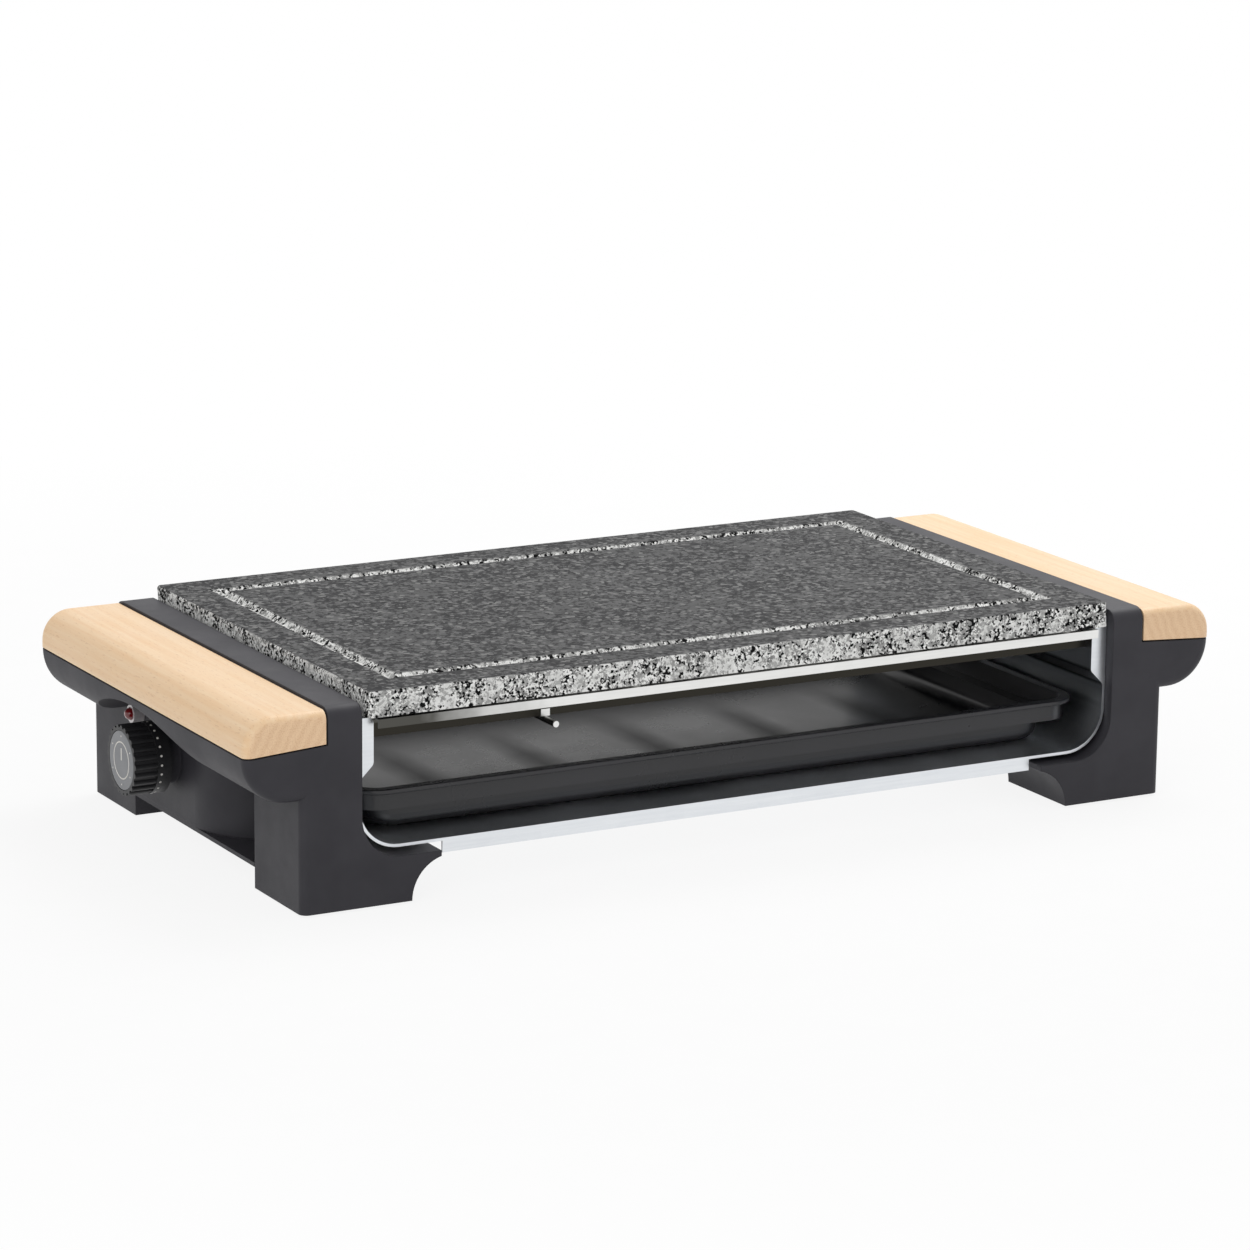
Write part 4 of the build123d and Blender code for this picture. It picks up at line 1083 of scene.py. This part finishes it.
@dataclass
class StonePlate:
    """Stone with a juice groove, honed on top and rough round its sides."""

    UPWARD: ClassVar[float] = 0.9
    SIDE_FACING: ClassVar[Span] = (-0.5, 0.95)
    TOUCH: ClassVar[float] = 0.1 * MM
    ARC_TOUCH: ClassVar[float] = 0.15 * MM
    TOP_TOUCH: ClassVar[float] = 0.01 * MM
    LEAST_RISE: ClassVar[float] = 1.0 * MM
    LEAST_CELLS: ClassVar[int] = 3

    groove_inset: float = 20.0 * MM
    groove_width: float = 8.0 * MM
    groove_wall: float = 2.4 * MM
    groove_depth: float = 2.5 * MM
    corner_radius: float = 3.0 * MM
    corner_steps: int = 4
    edge_radius: float = 1.0 * MM
    edge_steps: int = 2
    cell: float = 2.5 * MM
    roughness: float = 0.9 * MM
    chip_size: float = 5.0 * MM
    chip_layers: int = 3
    soft_angle: float = 40.0

    def __post_init__(self) -> None:
        """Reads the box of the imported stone."""
        low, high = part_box("stone_slab")
        self.low, self.high = Vector(low), Vector(high)
        self.size = self.high - self.low
        self.centre = (self.high + self.low) / 2

    def build(self) -> bpy.types.Object:
        """Models the plate, dresses it and lets it ride on the stone's body.

        Returns:
            The plate.
        """
        bpy.ops.mesh.primitive_cube_add(size=1.0)
        plate = bpy.context.object
        Bench.open(plate)
        bpy.ops.transform.resize(value=self.size)
        bpy.ops.transform.translate(value=self.centre)
        self._cut_groove(plate)
        self._round_edges(plate)
        self._divide_sides(plate)
        Bench.close()
        self._roughen(plate)
        Bench.smooth(plate, self.soft_angle)
        Bench.settle(plate, "stone_plate")
        Palette.STONE.dress_piece(plate)
        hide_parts("stone_slab")
        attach(plate, Body.STONE.value)
        return plate

    def _cut_groove(self, plate: bpy.types.Object) -> None:
        """Insets the top twice and sinks the ring between.

        Args:
            plate: The plate, in edit mode.
        """
        Bench.faces(plate, lambda face: face.normal.z > self.UPWARD)
        bpy.ops.mesh.inset(thickness=self.groove_inset)
        bpy.ops.mesh.inset(thickness=self.groove_width)
        Bench.faces(plate, self._is_ring)
        bpy.ops.mesh.inset(thickness=self.groove_wall, depth=-self.groove_depth)

    def _round_edges(self, plate: bpy.types.Object) -> None:
        """Rounds the upright corners and then the top edge.

        Args:
            plate: The plate, in edit mode.
        """
        Bench.edges(plate, self._is_upright)
        bpy.ops.mesh.bevel(offset=self.corner_radius, segments=self.corner_steps, affect="EDGES")
        Bench.edges(plate, lambda first, second: self._on_border(first) and self._on_border(second))
        bpy.ops.mesh.bevel(offset=self.edge_radius, segments=self.edge_steps, affect="EDGES")

    def _divide_sides(self, plate: bpy.types.Object) -> None:
        """Cuts the sides into small cells by planes across each axis.

        Args:
            plate: The plate, in edit mode.
        """
        for axis in range(3):
            count = max(self.LEAST_CELLS, round(self.size[axis] / self.cell))
            normal = [0.0, 0.0, 0.0]
            normal[axis] = 1.0
            for step in range(1, count):
                point = self.low.copy()
                point[axis] += self.size[axis] * step / count
                Bench.faces(plate, self._is_sawn)
                bpy.ops.mesh.bisect(plane_co=point, plane_no=normal)

    def _roughen(self, plate: bpy.types.Object) -> None:
        """Breaks the sides inward by a fine rough texture.

        Args:
            plate: The plate, in object mode.
        """
        group = plate.vertex_groups.new(name="sides")
        floor, roof = self.low.z + self.TOUCH, self.high.z - self.TOUCH
        sides = [v.index for v in plate.data.vertices if self._is_side(v.co) and floor < v.co.z < roof]
        group.add(sides, 1.0, "REPLACE")
        texture = bpy.data.textures.new("sawn_sides", "CLOUDS")
        texture.noise_scale = self.chip_size
        texture.noise_depth = self.chip_layers
        rough = plate.modifiers.new("rough", "DISPLACE")
        rough.texture = texture
        rough.vertex_group = group.name
        rough.strength = self.roughness
        rough.mid_level = 1.0
        bpy.ops.object.modifier_apply(modifier=rough.name)

    def _gaps(self, point: Vector) -> Span:
        """Distances from a point to the nearest end and to the nearest long side of the plate.

        Args:
            point: The point, inside the outline.

        Returns:
            The distance along X and the distance along Y.
        """
        reach = self.size / 2
        offset = point - self.centre
        return reach.x - abs(offset.x), reach.y - abs(offset.y)

    def _is_ring(self, face: bmesh.types.BMFace) -> bool:
        """Whether the groove sinks a face.

        Args:
            face: The face.

        Returns:
            Whether it does.
        """
        middle = self.groove_inset + self.groove_width / 2
        distance = min(self._gaps(face.calc_center_median()))
        return face.normal.z > self.UPWARD and abs(distance - middle) < self.groove_width / 4

    def _is_corner(self, point: Vector) -> bool:
        """Whether a point lies on an upright corner of the plate."""
        return all(abs(gap) < self.TOUCH for gap in self._gaps(point))

    def _is_upright(self, first: Vector, second: Vector) -> bool:
        """Whether two points are the ends of an upright corner."""
        rise = abs(first.z - second.z)
        return self._is_corner(first) and self._is_corner(second) and rise > self.LEAST_RISE

    def _is_side(self, point: Vector) -> bool:
        """Whether a point lies on the outside of the plate, not in the groove."""
        return min(self._gaps(point)) < self.corner_radius

    def _is_sawn(self, face: bmesh.types.BMFace) -> bool:
        """Whether a face lies on the sides of the plate."""
        lowest, highest = self.SIDE_FACING
        return lowest < face.normal.z < highest and self._is_side(face.calc_center_median())

    def _on_border(self, point: Vector) -> bool:
        """Whether a point lies on the outline of the plate's top.

        Args:
            point: The point.

        Returns:
            Whether it does.
        """
        if point.z <= self.high.z - self.TOP_TOUCH:
            return False
        gaps = self._gaps(point)
        if max(gaps) > self.corner_radius:
            return min(gaps) < self.TOUCH
        arm = Vector([self.corner_radius - gap for gap in gaps])
        return arm.length > self.corner_radius - self.ARC_TOUCH


@dataclass
class KnobMarks:
    """Ring, pointer and dots printed on the knob.

    Each mark is modelled flat and facing up, made a closed print with sloped edges, and then turned to its
    place.
    """

    ring_radius: float = 9.2 * MM
    ring_width: float = 0.7 * MM
    ring_steps: int = 72
    pointer_length: float = 6.0 * MM
    pointer_width: float = 1.1 * MM
    print_height: float = 0.12 * MM
    print_sink: float = 0.05 * MM
    print_slope: float = 0.14 * MM
    face_dot_size: float = 0.9 * MM
    face_dot_reach: float = 11.8 * MM
    face_dot_count: int = 6
    skirt_dot_size: float = 1.2 * MM
    skirt_dot_count: int = 19
    skirt_sweep: float = 270.0
    skirt_setback: float = 5.2 * MM
    dot_steps: int = 14
    face_turn: Triple = (0.0, -math.pi / 2, 0.0)

    def __post_init__(self) -> None:
        """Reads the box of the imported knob."""
        low, high = (Vector(c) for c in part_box("knob"))
        middle = (low + high) / 2
        self.face = Vector((low.x, middle.y, middle.z))
        self.skirt = Vector((high.x - self.skirt_setback, middle.y, middle.z))
        self.skirt_radius = (high.y - low.y) / 2

    def build(self) -> list[bpy.types.Object]:
        """Models the marks, dresses them and lets them turn with the knob.

        Returns:
            The marks.
        """
        marks = [self._ring(), self._pointer(), self._face_dots(), self._skirt_dots()]
        for mark in marks:
            Bench.smooth(mark)
            Palette.CERAMIC.dress_piece(mark)
            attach(mark, Body.KNOB.value)
        return marks

    def _open_print(self) -> bpy.types.Object:
        """Opens the flat shape that was just added, with all of it selected.

        Returns:
            The shape, in edit mode.
        """
        shape = bpy.context.object
        Bench.open(shape)
        bpy.ops.mesh.select_all(action="SELECT")
        return shape

    def _sink_print(self, shift: float = 0.0) -> None:
        """Moves the flat shape a little below the surface, and along X by a shift."""
        bpy.ops.transform.translate(value=(shift, 0.0, -self.print_sink))

    def _raise_print(self) -> None:
        """Makes the chosen flat faces a closed print, and leaves edit mode."""
        bpy.ops.mesh.extrude_region_move(TRANSFORM_OT_translate={"value": (0.0, 0.0, self.print_sink)})
        bpy.ops.mesh.inset(thickness=self.print_slope, depth=self.print_height)
        Bench.close()

    def _set_on_face(self, mark: bpy.types.Object, name: str) -> None:
        """Turns a mark to the middle of the knob's disc and settles it there.

        Args:
            mark: The mark, facing up at the origin.
            name: Its name.
        """
        mark.location = self.face
        mark.rotation_euler = self.face_turn
        Bench.settle(mark, name)

    def _ring(self) -> bpy.types.Object:
        """Models the thin ring round the middle of the knob's disc.

        Returns:
            The ring.
        """
        bpy.ops.mesh.primitive_circle_add(vertices=self.ring_steps, radius=self.ring_radius, fill_type="NGON")
        ring = self._open_print()
        self._sink_print()
        bpy.ops.mesh.inset(thickness=self.ring_width)
        bpy.ops.mesh.delete(type="FACE")
        bpy.ops.mesh.select_all(action="SELECT")
        self._raise_print()
        self._set_on_face(ring, "knob_ring")
        return ring

    def _pointer(self) -> bpy.types.Object:
        """Models the short bar from the middle of the disc towards the ring.

        Returns:
            The bar.
        """
        bpy.ops.mesh.primitive_plane_add(size=1.0)
        bar = self._open_print()
        bpy.ops.transform.resize(value=(self.pointer_length, self.pointer_width, 1.0))
        self._sink_print(self.pointer_length / 2)
        self._raise_print()
        self._set_on_face(bar, "knob_pointer")
        return bar

    def _dot(self, size: float) -> bpy.types.Object:
        """Models one round dot.

        Args:
            size: Its diameter.

        Returns:
            The dot, facing up at the origin.
        """
        bpy.ops.mesh.primitive_circle_add(vertices=self.dot_steps, radius=size / 2, fill_type="NGON")
        dot = self._open_print()
        self._sink_print()
        self._raise_print()
        return dot

    def _face_dots(self) -> bpy.types.Object:
        """Sets dots between the ring and the rim of the disc.

        Returns:
            The dots as one piece.
        """
        places = []
        for step in range(self.face_dot_count):
            angle = 2 * math.pi * step / self.face_dot_count
            arm = Vector((0.0, math.sin(angle), math.cos(angle))) * self.face_dot_reach
            places.append((self.face + arm, self.face_turn))
        return Bench.copies("knob_face_dots", self._dot(self.face_dot_size), places)

    def _skirt_dots(self) -> bpy.types.Object:
        """Sets a scale of dots round the skirt, centred on the front.

        Returns:
            The dots as one piece.
        """
        places = []
        for step in range(self.skirt_dot_count):
            share = step / (self.skirt_dot_count - 1) - 0.5
            angle = math.radians(share * self.skirt_sweep)
            arm = Vector((0.0, -math.cos(angle), math.sin(angle))) * self.skirt_radius
            places.append((self.skirt + arm, (math.pi / 2 - angle, 0.0, 0.0)))
        return Bench.copies("knob_skirt_dots", self._dot(self.skirt_dot_size), places)


class Assembly:
    """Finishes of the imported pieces, by sub-assembly."""

    def dress(self) -> None:
        """Puts each finish on its nodes."""
        self._ends()
        self._trough()
        self._heater()
        self._thermostat()

    def _ends(self) -> None:
        """Dresses the two moulded ends with their handles, covers and feet."""
        Palette.HOUSING.dress("left_housing", "right_housing")
        Palette.BEECH.dress("left_handle", "right_handle")
        Palette.COVER.dress("left_bottom_cover", "right_bottom_cover")
        Palette.RUBBER.dress("foot_pads", "cord_gland")
        Palette.FASTENER.dress("cover_screws", "handle_screws")

    def _trough(self) -> None:
        """Dresses the trough and the tray in it."""
        Palette.SHEET.dress("reflector_trough")
        Palette.FASTENER.dress("trough_screws")
        Palette.TRAY.dress("drip_tray")

    def _heater(self) -> None:
        """Dresses the heater and the rails and plates that carry it and the stone."""
        Palette.HEATER.dress("heating_element")
        Palette.RAIL.dress("front_rail", "rear_rail", "element_rod", "element_rest", "element_plates")
        Palette.FASTENER.dress("element_terminals")

    def _thermostat(self) -> None:
        """Dresses the switch, its knob and its lamp."""
        Palette.CERAMIC.dress("thermostat_body", "terminal_block")
        Palette.BRASS.dress("thermostat_nut")
        Palette.FASTENER.dress("thermostat_shaft")
        Palette.KNOB.dress("knob")
        Palette.DISC.dress("knob_face")
        Palette.LAMP_CLEAR.dress("indicator_bezel")
        Palette.LAMP_RED.dress("indicator_lens")


@dataclass(frozen=True)
class SoftBox:
    """A soft studio lamp.

    Args:
        name: Name of the lamp.
        place: Where it hangs.
        width: Side of its square face.
        power: Power in watts.
    """

    name: str
    place: Triple
    width: float
    power: float

    def build(self) -> bpy.types.Object:
        """Hangs the lamp and turns it to the object.

        Returns:
            The lamp.
        """
        data = bpy.data.lights.new(self.name, "AREA")
        data.size = self.width
        data.energy = self.power
        lamp = bpy.data.objects.new(self.name, data)
        bpy.context.scene.collection.objects.link(lamp)
        lamp.location = self.place
        lamp.rotation_euler = (-Vector(self.place)).to_track_quat("-Z", "Y").to_euler()
        return lamp


@dataclass
class Studio:
    """White floor and surround, soft lamps and the camera of the photo."""

    lens: float = 141.277
    azimuth: float = -28.9586
    elevation: float = 13.4985
    roll: float = 0.6167
    place: Triple = (-1.13536, -2.04635, 0.64738)
    floor_size: float = 16.0
    floor_drop: float = 0.3 * MM
    floor_white: float = 0.88
    floor_roughness: float = 0.9
    speck_fineness: float = 40.0
    speck_span: Span = (0.3, 0.7)
    speck_tones: Span = (0.83, 0.87)
    shadow_reach: float = 0.45
    surround: float = 0.55
    lamps: tuple[SoftBox, ...] = (
        SoftBox("key", (0.9, 0.5, 1.5), 1.2, 18.0),
        SoftBox("fill", (-1.3, -1.2, 1.0), 1.2, 7.0),
    )

    def build(self) -> None:
        """Sets up everything round the object."""
        self._surround()
        self._floor()
        for lamp in self.lamps:
            lamp.build()
        self._camera()

    def _seen(self, sheet: Sheet) -> Socket:
        """Mask of the rays from the camera and of mirrored or clear views of the surround.

        Args:
            sheet: Sheet of the material's or the world's tree.

        Returns:
            The mask.
        """
        path = sheet.add("ShaderNodeLightPath").outputs
        seen = sheet.plus(path["Is Camera Ray"], path["Is Glossy Ray"])
        return sheet.math(Operation.SMALLER, sheet.plus(seen, path["Is Transmission Ray"]), 1.0)

    def _surround(self) -> None:
        """White surround that gives a plain level of light."""
        world = bpy.data.worlds.new("surround")
        bpy.context.scene.world = world
        world.use_nodes = True
        sheet = Sheet(world.node_tree)
        back = world.node_tree.nodes["Background"]
        sheet.feed(back.inputs["Color"], WHITE)
        sheet.feed(back.inputs["Strength"], sheet.span(self._seen(sheet), WHOLE, (self.surround, 1.0)))

    def _floor(self) -> None:
        """Lays a pale floor under the object."""
        bpy.ops.mesh.primitive_plane_add(size=self.floor_size, location=(0.0, 0.0, -self.floor_drop))
        floor = bpy.context.object
        floor.name = "floor"
        floor.data.materials.append(self._floor_paint())

    def _floor_paint(self) -> bpy.types.Material:
        """Makes a paint that looks white, keeps a faint shadow and is clear from below.

        Returns:
            The material.
        """
        paint = bpy.data.materials.new("floor_paint")
        paint.use_nodes = True
        nodes = paint.node_tree.nodes
        sheet = Sheet(paint.node_tree)
        plain = nodes["Principled BSDF"]
        specks = sheet.noise(sheet.place(), self.speck_fineness)
        tones = sheet.span(specks, self.speck_span, self.speck_tones)
        sheet.feed(plain.inputs["Base Color"], sheet.mixed(tones, BLACK, WHITE))
        sheet.feed(plain.inputs["Roughness"], self.floor_roughness)
        sheet.feed(plain.inputs["Specular IOR Level"], 0.0)
        white = sheet.add("ShaderNodeEmission", {"Color": WHITE, "Strength": 1.0})
        distance = sheet.add("ShaderNodeVectorMath", {0: sheet.place()}, operation="LENGTH").outputs["Value"]
        fade = (self.shadow_reach, 2 * self.shadow_reach)
        share = sheet.times(self._seen(sheet), sheet.span(distance, fade, (self.floor_white, 1.0)))
        mix = sheet.add("ShaderNodeMixShader", {0: share, 1: plain.outputs[0], 2: white.outputs[0]})
        below = sheet.add("ShaderNodeNewGeometry").outputs["Backfacing"]
        clear = sheet.add("ShaderNodeBsdfTransparent")
        whole = sheet.add("ShaderNodeMixShader", {0: below, 1: mix.outputs[0], 2: clear.outputs[0]})
        sheet.feed(nodes["Material Output"].inputs["Surface"], whole.outputs[0])
        return paint

    def _camera(self) -> None:
        """Sets the camera of the photo."""
        data = bpy.data.cameras.new("photo_camera")
        data.lens = self.lens
        camera = bpy.data.objects.new("photo_camera", data)
        bpy.context.scene.collection.objects.link(camera)
        turn = math.radians(self.azimuth)
        rise = math.radians(self.elevation)
        back = Vector((math.sin(turn) * math.cos(rise), -math.cos(turn) * math.cos(rise), math.sin(rise)))
        aim = (-back).to_track_quat("-Z", "Y").to_matrix()
        camera.rotation_euler = (aim @ Matrix.Rotation(math.radians(self.roll), 3, "Z")).to_euler()
        camera.location = self.place
        scene = bpy.context.scene
        scene.camera = camera
        scene.view_settings.view_transform = "Standard"


def main() -> None:
    """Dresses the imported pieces, models the visual ones and sets up the studio."""
    logging.basicConfig(level=logging.INFO, format="%(name)s: %(message)s")
    Assembly().dress()
    for piece in (StonePlate().build(), *KnobMarks().build()):
        log.info("%s: %d faces", piece.name, len(piece.data.polygons))
    Studio().build()


if __name__ == "__main__":
    main()
